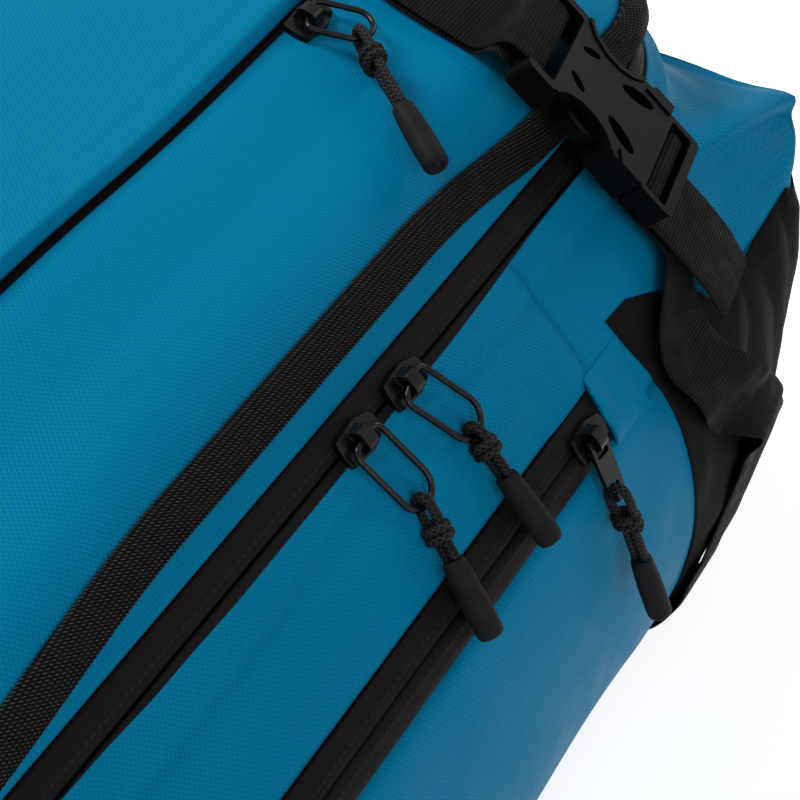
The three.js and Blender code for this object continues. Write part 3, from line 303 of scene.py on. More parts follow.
class Look(Nodes):
    """A material, with the patterns that its colour and its relief are made of."""

    def __init__(self, name, rough, specular, slot=None):
        self.mat = bpy.data.materials.new(name)
        self.slot = slot or name
        super().__init__(self.mat, "Principled BSDF")
        self.set("Roughness", rough)
        self.set("Specular IOR Level", specular)

    def in_mm(self, xyz):
        parts = self.node("ShaderNodeSeparateXYZ", xyz).outputs
        return [self.mul(parts[k], 1000.0) for k in (0, 1)]

    def cloth(self):
        """Distances along and across the cloth, in mm."""
        return self.in_mm(self.node("ShaderNodeUVMap", uv_map="cloth").outputs[0])

    def place(self):
        return self.node("ShaderNodeTexCoord").outputs["Object"]

    def noise(self, scale, detail=2.0):
        values = {"Vector": self.place(), "Scale": scale, "Detail": detail}
        return self.fill(self.node("ShaderNodeTexNoise"), values)["Fac"]

    def wave(self, x, pitch, phase=0.0):
        """A sine between 0 and 1 of the given pitch."""
        return self.mul(self.math("SINE", self.mul(x, TURN / pitch, phase)), 0.5, 0.5)

    def mix(self, fac, a, b):
        a, b = ((*value, 1) if isinstance(value, tuple) else value for value in (a, b))
        return self.fill(self.node("ShaderNodeMix", data_type="RGBA"), {0: fac, 6: a, 7: b})[2]

    def span(self, x, a, b, low=0, high=1):
        """x between a and b, as low to high."""
        return self.node("ShaderNodeMapRange", x, a, b, low, high).outputs[0]

    def colour(self, fac, a, b):
        self.set("Base Color", self.mix(fac, a, b))

    def rough(self, scale, low, high, detail=2.0):
        self.set("Roughness", self.span(self.noise(scale, detail), 0.3, 0.7, low, high))

    def bump(self, height, depth, strength):
        values = {"Strength": strength, "Distance": depth * MM, "Height": height}
        self.set("Normal", self.fill(self.node("ShaderNodeBump"), values)[0])


def woven_shell():
    """Coated teal nylon in a fine check weave."""
    k = Look("shell_fabric", 0.45, 0.03)
    x, y = k.cloth()
    weave = k.mul(k.math("SINE", k.mul(x, math.pi / 0.75)), k.math("SINE", k.mul(y, math.pi)))
    height = k.mul(weave, 0.5, 0.5)
    teal = k.mix(k.span(k.noise(14.0, 3.0), 0.3, 0.7), (0.0, 0.170, 0.325), (0.0, 0.190, 0.355))
    # The weave's hollows are painted darker teal and its tops lighter: painted shade and painted
    # highlight of the weave's relief.
    k.colour(height, (0.0, 0.135, 0.262), teal)
    k.rough(60.0, 0.4, 0.52)
    k.bump(height, 0.14, 0.9)
    return k


def plain_weave(name, slot, specular, pitch_x, pitch_y, low, high, depth, strength):
    k = Look(name, 0.7, specular, slot)
    x, y = k.cloth()
    height = k.mul(k.wave(x, pitch_x), k.wave(y, pitch_y))
    k.colour(height, low, high)
    k.bump(height, depth, strength)
    return k


def coated_zip():
    """Coated tape. Across is the distance from the zip's line, and the coil shows through by it."""
    k = Look("coated_zip", 0.5, 0.04)
    x, y = k.cloth()
    off = k.math("ABSOLUTE", y)
    cloth = k.mul(k.wave(k.add(x, y), 0.75), k.wave(k.less(x, y), 0.75))
    coil = k.mul(k.wave(x, 1.5), k.span(off, 2.6, 3.4, 1, 0))
    line = k.span(off, 0.12, 0.4, 1, 0)
    row = k.span(k.math("ABSOLUTE", k.less(off, 3.2)), 0.1, 0.45, 1, 0)
    stitch = k.mul(row, k.wave(x, 2.6))
    height = k.less(k.add(k.mul(cloth, 0.3), k.mul(coil, 0.45)), k.mul(line, 2.0))
    base = k.mix(cloth, (0.004, 0.004, 0.0045), (0.010, 0.010, 0.0115))
    base = k.mix(k.mul(stitch, 0.5), base, (0.025, 0.025, 0.028))
    k.colour(line, base, (0.002, 0.002, 0.002))
    k.rough(90.0, 0.42, 0.58)
    k.bump(k.add(height, k.mul(stitch, 0.6)), 0.18, 0.9)
    return k


def twill():
    """A thick twill tape: rows of slanted stitches along the band."""
    k = Look("twill_binding", 0.55, 0.04)
    x, y = k.cloth()
    row = k.math("FLOOR", k.math("DIVIDE", y, 1.3))
    rib = k.wave(k.mul(row, 0.3, k.mul(y, 1.2, x)), 1.25)
    rib_crown = k.mul(rib, k.math("POWER", k.wave(y, 1.3, -math.pi / 2), 0.4))
    uneven = k.span(k.noise(700.0), 0.3, 0.7, 0.55, 1.15)
    # The rib crowns are painted pale grey: a painted highlight along the shiny black thread, its
    # brightness varied at random by noise.
    k.colour(k.mul(k.span(rib_crown, 0.42, 0.95), uneven), (0.001, 0.001, 0.0011), (0.05, 0.05, 0.052))
    k.rough(200.0, 0.45, 0.7)
    k.bump(rib_crown, 0.42, 1.0)
    return k


def webbing():
    """Ribs across the strap, each broken up by the warp."""
    k = Look("webbing", 0.6, 0.035)
    x, y = k.cloth()
    warp = k.wave(k.mul(k.math("FLOOR", k.mul(x, 0.8)), 0.55, y), 1.1)
    height = k.add(k.mul(k.wave(x, 1.25), 0.75), k.mul(warp, 0.35))
    k.colour(k.span(height, 0.1, 1.1), (0.0015, 0.0015, 0.0015), (0.0115, 0.0115, 0.012075))
    k.rough(150.0, 0.5, 0.75)
    k.bump(height, 0.3, 1.0)
    return k


def stiffener():
    """The stiff sheet behind the back padding: matt and faintly brushed."""
    k = Look("liner_sheet", 0.6, 0.1)
    x, _ = k.in_mm(k.place())
    streak = k.wave(k.mul(k.noise(35.0), 3.0, x), 1.1)
    k.colour(streak, (0.012, 0.012, 0.013), (0.022, 0.022, 0.024))
    k.rough(50.0, 0.5, 0.7)
    k.bump(streak, 0.05, 0.5)
    return k


def slanting(k, slant, pitch):
    """Two sets of slanting waves, which cross."""
    x, y = k.cloth()
    return [k.wave(k.mul(y, way * slant, x), pitch) for way in (1, -1)]


def mesh_padding():
    """Spacer mesh: small open cells in rows."""
    k = Look("back_padding", 0.85, 0.07)
    cells = k.mul(*slanting(k, 0.5, 2.6))
    k.colour(k.span(cells, 0.3, 0.8), (0.022, 0.022, 0.024), (0.003, 0.003, 0.003))
    k.bump(k.less(1.0, cells), 0.5, 0.8)
    return k


def braid():
    """A braided cord: strands crossing both ways round it."""
    k = Look("pull_cord", 0.6, 0.1)
    height = k.math("MAXIMUM", *slanting(k, 0.8, 1.7))
    k.colour(k.span(height, 0.5, 1), (0.0015, 0.0015, 0.0015), (0.02, 0.02, 0.022))
    k.bump(height, 0.35, 1.0)
    return k


def moulded(name, base, rough, grain, specular):
    """Moulded plastic or rubber with a fine spark grain and faint cloudy wear."""
    k = Look(name, rough, specular)
    k.set("Roughness", k.span(k.noise(90.0, 1.0), 0.2, 0.8, rough - 0.02, rough + 0.03))
    k.colour(k.span(k.noise(140.0), 0.35, 0.65), base, tuple(c * 1.5 for c in base))
    k.bump(k.noise(2600.0, 1.0), grain, 0.5)
    return k


def black_metal():
    k = Look("black_metal", 0.2, 0.16)
    k.colour(k.span(k.noise(300.0, 3.0), 0.4, 0.7), (0.002, 0.002, 0.0023), (0.006, 0.006, 0.007))
    k.rough(500.0, 0.14, 0.3)
    k.bump(k.noise(900.0), 0.03, 0.3)
    return k


SHELL, ZIP, TWILL, WEB = woven_shell(), coated_zip(), twill(), webbing()
LINER = plain_weave("liner_fabric", "shell_fabric", 0.08, 0.9, 0.9,
                    (0.02, 0.021, 0.023), (0.045, 0.047, 0.05), 0.1, 0.6)
BLACK = plain_weave("black_fabric", "black_fabric", 0.05, 0.95, 0.8,
                    (0.002, 0.002, 0.0022), (0.0075, 0.0075, 0.0082), 0.16, 0.9)
PLASTIC = moulded("buckle_plastic", (0.0022, 0.0022, 0.0025), 0.34, 0.02, 0.05)
RUBBER = moulded("cord_end_rubber", (0.007, 0.007, 0.0077), 0.6, 0.08, 0.06)
PAD, METAL, BRAID = mesh_padding(), black_metal(), braid()

# ---- mesh pieces


def edited(mesh, change):
    """Runs a change on a mesh's corners and faces."""
    bm = bmesh.new()
    bm.from_mesh(mesh)
    change(bm)
    bm.to_mesh(mesh)
    bm.free()


def face_outward(bm):
    bmesh.ops.recalc_face_normals(bm, faces=bm.faces)


def finish(piece, node, body):
    """Joins a piece to a body. Where the frame has a node of this name, the piece stands for it."""
    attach(piece, body)
    if node in frame["nodes"]:
        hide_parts(node)
    return piece


def new_piece(name, body, points, faces, uvs, looks, which=None):
    mesh = bpy.data.meshes.new(name)
    mesh.from_pydata((points + SHIFT) * MM, [], faces)
    layer = mesh.uv_layers.new(name="cloth")
    loops = np.zeros(len(mesh.loops), int)
    mesh.loops.foreach_get("vertex_index", loops)
    layer.data.foreach_set("uv", (uvs[loops] * MM).ravel())
    for look in looks:
        mesh.materials.append(look.mat)
    if which is not None:
        mesh.polygons.foreach_set("material_index", which)
    mesh.polygons.foreach_set("use_smooth", [True] * len(mesh.polygons))
    mesh.update()
    return finish(put(name, mesh), name.removesuffix("_look"), body)


def slab(name, body, outer, inner, uv, look, inside=LINER, closed=False):
    """A closed slab between two grids of points, with its own look on the inner face."""
    n, m = outer.shape[:2]
    points = np.concatenate([outer.reshape(-1, 3), inner.reshape(-1, 3)])
    uvs = np.concatenate([uv.reshape(-1, 2)] * 2)
    faces, which = [], []
    at = lambda k, i, j: (k * n + i % n) * m + j
    for i in range(n if closed else n - 1):
        for j in range(m - 1):
            faces.append((at(0, i, j), at(0, i + 1, j), at(0, i + 1, j + 1), at(0, i, j + 1)))
            faces.append((at(1, i, j), at(1, i, j + 1), at(1, i + 1, j + 1), at(1, i + 1, j)))
            which += [0, 1]
        for a, b, j in ((0, 1, 0), (1, 0, m - 1)):
            faces.append((at(a, i, j), at(b, i, j), at(b, i + 1, j), at(a, i + 1, j)))
            which.append(0)
    if not closed:
        for j in range(m - 1):
            faces.append((at(0, 0, j), at(0, 0, j + 1), at(1, 0, j + 1), at(1, 0, j)))
            i = n - 1
            faces.append((at(0, i, j), at(1, i, j), at(1, i, j + 1), at(0, i, j + 1)))
            which += [0, 0]
    return new_piece(name + "_look", body, points, faces, uvs, (look, inside), which)


def close_middle(piece, n, m):
    """Closes the last ring of each layer across the middle, and drops the wall between them."""
    def change(bm):
        bm.verts.ensure_lookup_table()
        rings = [[bm.verts[(k * n + i) * m + m - 1] for i in range(n)] for k in (0, 1)]
        gone = set(rings[0] + rings[1])
        walls = [f for f in bm.faces if all(v in gone for v in f.verts)]
        bmesh.ops.delete(bm, geom=walls, context="FACES_ONLY")
        for k, ring in enumerate(rings):
            f = bm.faces.new(ring if k == 0 else ring[::-1])
            f.smooth = True
            f.material_index = k
        face_outward(bm)

    edited(piece.data, change)


def left_copy(piece, node, body):
    """The mirrored copy, for the left, of a piece made for the right."""
    def change(bm):
        bmesh.ops.scale(bm, vec=(-1, 1, 1), verts=bm.verts)
        bmesh.ops.reverse_faces(bm, faces=bm.faces)

    mesh = having(piece.data.copy(), name=node)
    edited(mesh, change)
    return finish(put(node, mesh), node, body)


def layer(name, body, base, out, high, low, uv, look, inside=LINER, closed=False, side=1):
    """A slab between two heights over places on a surface, turned over where it is for the left."""
    outer, inner = ((base + out * np.asarray(by)[..., None])[::side] * [side, 1, 1]
                    for by in (high, low))
    return slab(name, body, outer, inner, uv[::side], look, inside, closed)


def skin(name, body, rings, uvs, look, closed=False):
    """A skin over rings of points, closed to a loop or with a flat face at both ends."""
    n, sides = rings.shape[:2]
    at = lambda i, j: i % n * sides + j % sides
    faces = [(at(i, j), at(i, j + 1), at(i + 1, j + 1), at(i + 1, j))
             for i in range(n if closed else n - 1) for j in range(sides)]
    if not closed:
        faces += [tuple(range(sides))[::-1], tuple(at(n - 1, j) for j in range(sides))]
    piece = new_piece(name, body, rings.reshape(-1, 3), faces, uvs.reshape(-1, 2), (look,))
    edited(piece.data, face_outward)
    return piece


def grid_uv(points):
    """Distances along and across a grid of points, in mm."""
    return together(run(points[:, points.shape[1] // 2])[:, None], run(points.swapaxes(0, 1)).T)


def edge_distance(uv, ends=True):
    """How far each point of a grid is from its nearest edge, with its ends or without, in mm."""
    along, across = (np.minimum(row, row.max(k, keepdims=True) - row)
                     for k, row in enumerate(np.moveaxis(uv, -1, 0)))
    return np.minimum(across, along) if ends else across


# ---- the shell's panels


def panel(name, u, v, puff=lambda p: 0.0, body="bag", closed=False, dip=0.9, edge=3.5):
    """A padded piece sewn into the surface over grids of u and v, pulled down along its seams."""
    base, out = on_surface(u, v)
    uv = grid_uv(base)
    d = edge_distance(uv, not closed)
    rise = puff(base) * smooth(0, 22, d) - dip * (1 - smooth(0, edge, d))
    layer(name, body, base, out, rise, rise - CLOTH_THICK, uv, SHELL, closed=closed)


def band(end, y, vs, step):
    """Grids of u and v for a band from one long side round an end of the bag to the other."""
    a, b = u_of_y(vs, y, end), u_of_y(vs, y, -end) + (8 if end < 0 else 0)
    k = len(vs) // 2
    list_u = u_list(a[k], b[k], step, vs[k])
    t = (list_u - a[k]) / (b[k] - a[k])
    return a[None] + t[:, None] * (b - a)[None], np.broadcast_to(vs, (len(t), len(vs)))


def either_side(p):
    """The same places on the right, for what is alike on both sides."""
    return np.abs(p * [1, 0, 0]) + p * [0, 1, 1]


def far_from(p, place):
    return np.linalg.norm(p - surface(*place), axis=-1)


def pulled_corner(p):
    """The box corners are drawn out into points by the wings."""
    return 3.6 * np.exp(-far_from(either_side(p), (1.45, 7.0)) / 8)


def soft_sides(p):
    """The filled-out sides: slow dents, and creases that run down from the upper corners."""
    p = either_side(p)
    y, z = p[..., 1], p[..., 2]
    zip_foot = bell(y, 34, -190) * (z > 110)
    slow = 1.3 * waves(p, 170, 3) * (1 - 0.8 * zip_foot)
    creases = 1.1 * waves(p * [1.0, 2.6, 0.5], 60, 8) * smooth(60, 190, y)
    dent = 5.5 * bell(np.linalg.norm((p - surface(1.15, 2.2)) / [1, 1, 1.3], axis=-1), 48)
    return slow + creases - 0.8 * zip_foot - dent + pulled_corner(p) * (z > 120)


def pull_way(y):
    """1 where the upper pull passes over the cloth as its slider runs, which lies flatter there."""
    return within(84, 96, 152, 166, y)


def soft_gusset(p):
    """The sloping strip between the zips swells between them and is creased near its upper end."""
    p = either_side(p)
    y, z = p[..., 1], p[..., 2]
    swell = 1.6 * np.sin(np.clip((z - 186) / 27, 0, 1) * math.pi)
    crease = 0.9 * waves(p * [0.6, 1.6, 1.0], 46, 21) * smooth(20, 110, y)
    return (swell + crease + 0.7 * waves(p, 120, 5)) * (1 - 0.8 * pull_way(y) * smooth(172, 182, z))


def fold(p, a, b, width, depth):
    """A crease, or with a negative depth a ridge, along the line from a to b."""
    a, b = surface(*a), surface(*b)
    line = b - a
    t = np.clip(((p - a) @ line) / (line @ line), 0, 1)
    d = np.linalg.norm(p - a - t[..., None] * line, axis=-1)
    return -depth * bell(d, width) * (0.35 + 0.65 * np.sin(math.pi * np.clip(t, 0.02, 0.98)) ** 0.5)


def overlap(p, a, b, beyond, height, reach):
    """A fold lying over its neighbour: past the line, towards `beyond`, the cloth stands higher."""
    a, b, c = surface(*a), surface(*b), surface(*beyond)
    line = b - a
    t = (p - a) @ line / (line @ line)
    d = (p - a) @ unit((c - a) - line * ((c - a) @ line) / (line @ line))
    step = smooth(-1.6, 1.4, d) * bell(np.maximum(d, 0), reach)
    return within(-0.25, 0.1, 0.75, 1.25, t) * height * (step - 0.45 * bell(d, 4, -3))


def soft_top(p):
    """The roof sags between the buckles and the box corners, which stay sharp."""
    q, y = either_side(p), p[..., 1]
    folds = -8.0 * bell(far_from(q, (1.85, 8.2)), 42)
    folds = folds + overlap(q, (1.40, 7.05), (1.06, 7.9), (1.5, 8.0), 5.0, 13)
    for line in (((0.92, 7.0), (1.0, 6.15), 3.0, 2.2), ((0.98, 7.1), (1.12, 6.3), 4.0, -1.4),
                 ((1.5, 7.2), (1.8, 8.6), 4, 1.6), ((2.2, 7.0), (1.7, 8.6), 6, 1.4)):
        folds = folds + fold(q, *line)
    folds = folds * smooth(140, 166, y)
    return folds + 0.9 * waves(q, 90, 12) * smooth(150, 175, y) + pulled_corner(p)


def gusset(name, u, low, start, place_u):
    """The sloping strip beside the front zip, its cloth turned up over that side of the tape."""
    y_line = surface(u, STRIP)[:, 1]
    edge = (0.8 + 2.6 * within(-130, -40, 45, 120, y_line))[:, None]  # this much tape stays bare
    d_low = ARC[ZIP_LINE] - arc_of(low) - HALF_GAP
    t = np.concatenate([[0, 0.006, 0.02, 0.05, 0.09], np.linspace(0.14, 1, 40)])
    d = (edge + (d_low - edge) * t)[:, ::-1]
    v = v_of(ARC[ZIP_LINE] - d)
    base, out = on_surface(place_u(v), v)
    y = base[..., 1]
    body, d_seam = soft_gusset(base), d_low - d
    if low == SIDE_IN:
        d_seam = d_seam + smooth(62, 92, y) * (ARC[SIDE_IN] - ARC[SIDE_OUT])
    else:
        body = body + soft_top(base)
    body = body * smooth(0, 18, d_seam) - 0.7 * (1 - smooth(0, 3.5, d_seam))
    turned = np.interp(d - edge, [0, 0.5, 4.5], [1.0, 1.33, 1.4]) + 0.9 * smooth(6.5, 11, d)
    turned = turned - 1.3 * pull_way(y) * smooth(9.2, 11.5, d)
    mix = smooth(9, 16, d)
    rise = turned * (1 - mix) + body * mix
    deep = np.interp(d, [0, 9.3, 10.2], [0.28, 0.34, CLOTH_THICK])
    uv = together(grid_uv(base)[:, -1:, 0] + start, -d)
    layer(name, "bag", base, out, rise, rise - deep, uv, SHELL)


def body_shell():
    corner_gap, step = 0.006, 4.5
    v = v_list(0, v_above(SIDE_OUT, -HALF_GAP), step)
    names = ("side_panel_right", "top_end_panel", "side_panel_left", "bottom_end_panel")
    for k, name in enumerate(names):
        u = u_list(2 * k - 0.5 + corner_gap, 2 * k + 1.5 - corner_gap, step, 4)
        panel(name, u[:, None], v[None], soft_sides)
    long_run, top_run = SIDE_TOP_Y - ZIP_END_Y, 620  # so the weave runs on from strip to strip
    ys = np.linspace(ZIP_END_Y + HALF_GAP, SIDE_TOP_Y, 98)
    for side, name in SIDES:
        line = ys[::side]
        start = 0 if side > 0 else long_run + top_run
        gusset("gusset_" + name, u_of_y(STRIP, line, side), SIDE_IN, start,
               lambda v: u_of_y(v, line[:, None], side))
    a, b = (float(u_of_y(STRIP, SIDE_TOP_Y, side)) for side, _ in SIDES)
    u = u_list(a, b, 3.0, STRIP)
    t = ((u - a) / (b - a))[:, None]
    gusset("top_gusset", u, SIDE_OUT, long_run,
           lambda v: u_of_y(v, SIDE_TOP_Y) * (1 - t) + u_of_y(v, SIDE_TOP_Y, -1) * t)
    low = v_list(v_above(SIDE_OUT, HALF_GAP), v_above(ZIP_LINE, -HALF_GAP), 3.2)
    rows = band(-1, ZIP_END_Y - HALF_GAP, low, 4.0)
    panel("bottom_gusset", *rows, lambda p: 1.2 * waves(p, 130, 31), dip=0.7)


# ---- zips


def zip_profile(t, half):
    """Height of a tape at a distance from the zip's line: a coil on each side under the coat."""
    t = np.abs(t)
    return 0.55 + 0.5 * bell(t, 2.2, 2.6) - 0.8 * bell(t, 0.5) - 0.5 * smooth(half - 2.5, half, t)


def zip_band(name, u, v, offs, body):
    """offs are distances from the zip's line, one for each column of v."""
    base, out = on_surface(u, v)
    uv = grid_uv(base)
    uv[..., 1] = offs
    rise = zip_profile(offs, np.abs(offs).max()) + 0.1 * waves(base, 40, 17)
    layer(name, body, base, out, rise, -0.9, uv, ZIP)


def front_zip():
    across = np.array([0.1, 0.25, 0.5, 0.8, 1.2, 1.8, 2.5, 3.3, 4.2, 5.2, 6.4, 7.4, 8.2, 0])
    for name, body, way, far in (("zip_tape_body", "bag", -1, ZIP_OUT),
                                 ("zip_tape_lid", "lid", 1, ZIP_IN)):
        across[-1] = abs(ARC[far] - ARC[ZIP_LINE]) - HALF_GAP
        offs = (across * way)[::way]
        zip_band(name, *band(1, ZIP_END_Y + HALF_GAP, v_above(ZIP_LINE, offs), 3.0), offs, body)


def side_zips():
    vs = v_list(v_above(SIDE_OUT, HALF_GAP), v_above(SIDE_IN, -HALF_GAP), 0.7)
    offs = (vs - SIDE_OUT - 0.5) * (ARC[SIDE_IN] - ARC[SIDE_OUT])
    ys = np.linspace(ZIP_END_Y + HALF_GAP, SIDE_TOP_Y - HALF_GAP, 97)
    for side, name in SIDES:
        zip_band("side_zip_tape_" + name, u_of_y(vs, ys[::side, None], side), vs, offs, "bag")


# ---- the front


def soft_front(p):
    creases = 1.0 * waves(p * [1.5, 0.7, 1.0], 70, 44) * smooth(60, 110, np.abs(p[..., 0]))
    return 1.5 * waves(p, 150, 41) + creases


def lid_shell():
    u = ring_u(4.0, BIND_IN)
    v = np.concatenate([v_list(v_above(BIND_IN, -8.5), 17, 4.0), [17.25, 17.5, 17.75, 17.96]])
    base, out = on_surface(u[:, None], v)
    out[:, v > 17] = [0, 0, 1]
    d = arc_of(v) - ARC[BIND_IN]
    rise = soft_front(base) * smooth(4, 30, d) - 0.6 * (1 - smooth(0, 6, d))
    uv = base[..., [1, 0]]
    piece = layer("front_panel", "lid", base, out, rise, rise - CLOTH_THICK, uv, SHELL, closed=True)
    close_middle(piece, len(u), len(v))

    v = v_list(v_above(ZIP_IN, HALF_GAP), v_above(BIND_OUT, 2.5), 1.2)
    u = ring_u(4.0, ZIP_IN)[:, None]
    panel("lid_edge_strip", u, v, body="lid", closed=True, dip=0.3, edge=1.5)
    v = v_list(v_above(ZIP_LINE, HALF_GAP), v_above(ZIP_IN, -HALF_GAP), 1.6)
    panel("lid_hinge_hem", *band(-1, ZIP_END_Y - HALF_GAP, v, 4.0), body="lid", dip=0.4, edge=2)


def linings():
    """The lining inside the body, turned in over the base, and the tape inside the lid's edge."""
    u = ring_u(6.0, 3)
    v = np.concatenate([v_list(0.35, 7.8, 9.0)[::-1], [0.3, 0.3, 0.3, 0.3]])
    base, out = on_surface(u[:, None], v)
    outer = base - out * np.interp(v, [0.3, 1, 4.4, 7.8], [9.5, 11, 11, 12.5])[:, None]
    hx, hy, *_ = level_at(0.0)
    corner = 34
    for k, (inset, height) in enumerate([(12, 33), (14, 30), (18, 28.9), (26, 28.9)]):
        outer[:, k - 4] = together(*rounded(u, hx - inset, hy - inset, corner, corner), height)
    inner = outer - out * 0.4
    inner[:, -3:] = outer[:, -3:] + [0, 0, 0.4]
    slab("lining", "bag", outer, inner, grid_uv(outer), LINER, closed=True)
    v = v_list(v_above(ZIP_LINE, 3.6), v_above(BIND_IN, 5), 2.0)
    base, out = on_surface(u[:, None], v)
    layer("lid_tape", "lid", base, out, -3.5, -3.9, grid_uv(base), LINER, closed=True)


def binding():
    """The front's bound edge. It rolls out over the strip beside the zip, but for the middle."""
    u = ring_u(2.6, BIND_OUT)
    t = np.array([0, 0.02, 0.07, 0.15, 0.27, 0.4, 0.5, 0.6, 0.73, 0.85, 0.93, 0.98, 1])
    rolled_out = 5.2 - 6.8 * within(-150, -50, 70, 152, surface(u, BIND_OUT)[:, 1])
    v = v_of((ARC[BIND_OUT] - rolled_out)[:, None] + 12.2 * t)
    base, out = on_surface(u[:, None], v)
    arch = np.sin(math.pi * t)
    rise = 0.15 + 2.9 * arch ** 0.32 + 0.3 * waves(base, 30, 51) * arch
    layer("front_binding", "lid", base, out, rise, 0.12, grid_uv(base), TWILL, TWILL, True)


# ---- laying one piece on others


def mesh_points(mesh):
    """A mesh's corners in mm."""
    points = np.zeros(len(mesh.vertices) * 3)
    mesh.vertices.foreach_get("co", points)
    return points.reshape(-1, 3) / MM - SHIFT


def tree_of(piece):
    faces = [list(p.vertices) for p in piece.data.polygons]
    return BVHTree.FromPolygons(mesh_points(piece.data).tolist(), faces)


def first_hit(trees, start, way, reach):
    """How far off the nearest of the pieces lies, or None."""
    hits = (tree.ray_cast(start, way, reach)[3] for tree in trees)
    return min((far for far in hits if far is not None), default=None)


def height_over(base, out, trees, reach=14.0):
    """How far out from each base point the outermost of the pieces lies, or 0 where none does."""
    result = np.zeros(base.shape[:-1])
    flat = result.reshape(-1)
    for k, (b, o) in enumerate(zip(base.reshape(-1, 3), out.reshape(-1, 3))):
        far = first_hit(trees, Vector(b + o * reach), Vector(-o), 2 * reach)
        flat[k] = 0 if far is None else reach - far
    return result


def top_of(x, y, trees):
    """Height of the pieces over points of the plan."""
    start, down = 320.0, Vector((0, 0, -1))
    x, y = np.broadcast_arrays(x, y)
    far = [first_hit(trees, Vector((a, b, start)), down, 300) for a, b in zip(x.ravel(), y.ravel())]
    return (start - np.array(far, float)).reshape(x.shape)


def blur(z, times):
    for _ in range(times):
        p = np.pad(z, 1, mode="edge")
        z = (p[:-2, 1:-1] + p[2:, 1:-1] + p[1:-1, :-2] + p[1:-1, 2:] + 2 * z) / 6
    return z


# ---- the front pocket

POCKET_EDGE, POCKET_FAR, POCKET_HALF_Y = 49, -99.5, 196
POCKET_LINE, POCKET_TAPE = 55, 15
POCKET_TOP, POCKET_LOW = 128, -150


def over(under, x, y, times):
    """A grid of the plan, at the evened height of the piece under it."""
    x, y = np.meshgrid(x, y, indexing="ij")
    return together(x, y, blur(top_of(x, y, [under]), times))


def front_pocket(under):
    """A double layer over most of the front. Its open edge is turned in and lies over the zip."""
    rounding = 4.0 * (1 - np.sin(np.linspace(0, 1, 9) * math.pi / 2))
    x = np.concatenate([np.linspace(POCKET_FAR, 30, 34)[:-1], np.linspace(30, 45, 10)[:-1],
                        POCKET_EDGE - rounding])
    p = over(under, x, np.linspace(-POCKET_HALF_Y, POCKET_HALF_Y, 100), 3)
    gx, gy = p[..., 0], p[..., 1]
    low = 0.5 + np.clip((gx - (POCKET_EDGE - 20)) / 20, 0, 1) * 1.5
    away = np.minimum(gx - POCKET_FAR, POCKET_HALF_Y - np.abs(gy))
    swell = (1.0 * waves(p, 120, 61) + 1.1) * smooth(0, 40, away)
    roll = np.sqrt(1 - np.clip((gx - POCKET_EDGE + 2.2) / 2.2, 0, 1) ** 2)
    thick = 0.5 + (2.9 + swell) * smooth(0, 9, away) * (0.12 + 0.88 * roll)
    hem = 0.35 * bell(POCKET_EDGE - gx, 0.9, 8.5) * smooth(8, 20, away)
    return layer("front_pocket", "lid", p, UP, low + thick - hem, low, p[..., [1, 0]], SHELL)


def pocket_zip(under):
    """The pocket's zip, and a facing in shell cloth over the half that the pocket leaves bare."""
    half = POCKET_TAPE / 2
    t = np.array([0.2, 0.45, 0.8, 1.2, 1.8, 2.5, 3.3, 4.2, 5.2, 6.4, half])
    t = np.concatenate([-t[::-1], [0], t])
    y = np.linspace(POCKET_LOW, POCKET_TOP, 110)
    rise = 0.35 + np.minimum(zip_profile(t, half), 1.1)[:, None] * 0.7
    p = over(under, POCKET_LINE + t, y, 2)
    layer("pocket_zip_tape", "lid", p, UP, rise, 0.1, p[..., [1, 0]] - [0, POCKET_LINE], ZIP)
    t = np.array([-3.6, -3.4, -3.0, -1.6, 0, 2.4, 4, 6, 7.6, *range(9, 36, 2)])
    lift = np.interp(t, [-3.6, -3.4, -3], [1.16, 1.34, 1.44]) * (1 - smooth(3, 33, t))
    lift = lift - 0.45 * smooth(16, 35, t)
    near_end = np.minimum(y - y[0], y[-1] - y)
    lift = lift[:, None] - 0.9 * (1 - smooth(0, 9, near_end)) * smooth(10, 16, t)[:, None]
    low = lift - np.interp(t, [-3.6, 7.6, 14], [0.25, 0.25, 0.4])[:, None]
    p = over(under, POCKET_LINE + t, y, 2)
    layer("pocket_facing", "lid", p, UP, lift, low, p[..., [1, 0]], SHELL, SHELL)


# ---- the corner wings


def zip_garage(side, name, trees):
    """A tongue of shell cloth that folds down over the side zip's upper end."""
    half = 12.4
    d = np.concatenate([[-half, -12], np.linspace(-11, 11, 25), [12, half]])
    y = np.concatenate([[85.6, 85.9, 86.4], np.linspace(87.5, 108, 26)])[:, None]
    y = y + 2.2 * (d / 12) ** 2 + 0.06 * d
    v = v_of((ARC[SIDE_OUT] + ARC[SIDE_IN]) / 2 + d)
    base, out = on_surface(u_of_y(v, y), v)
    under = blur(height_over(base, out, trees), 6)
    rim = smooth(0, 3.5, half - np.abs(d)) * (1 - smooth(98, 108, y))
    lift = 0.25 + 1.5 * rim + 0.5 * rim * bell(y, 3, 88)
    low = under + np.minimum(0.2, lift - 0.1)
    layer(name, "bag", base, out, under + lift, low, together(base[..., 1], d), SHELL, side=side)


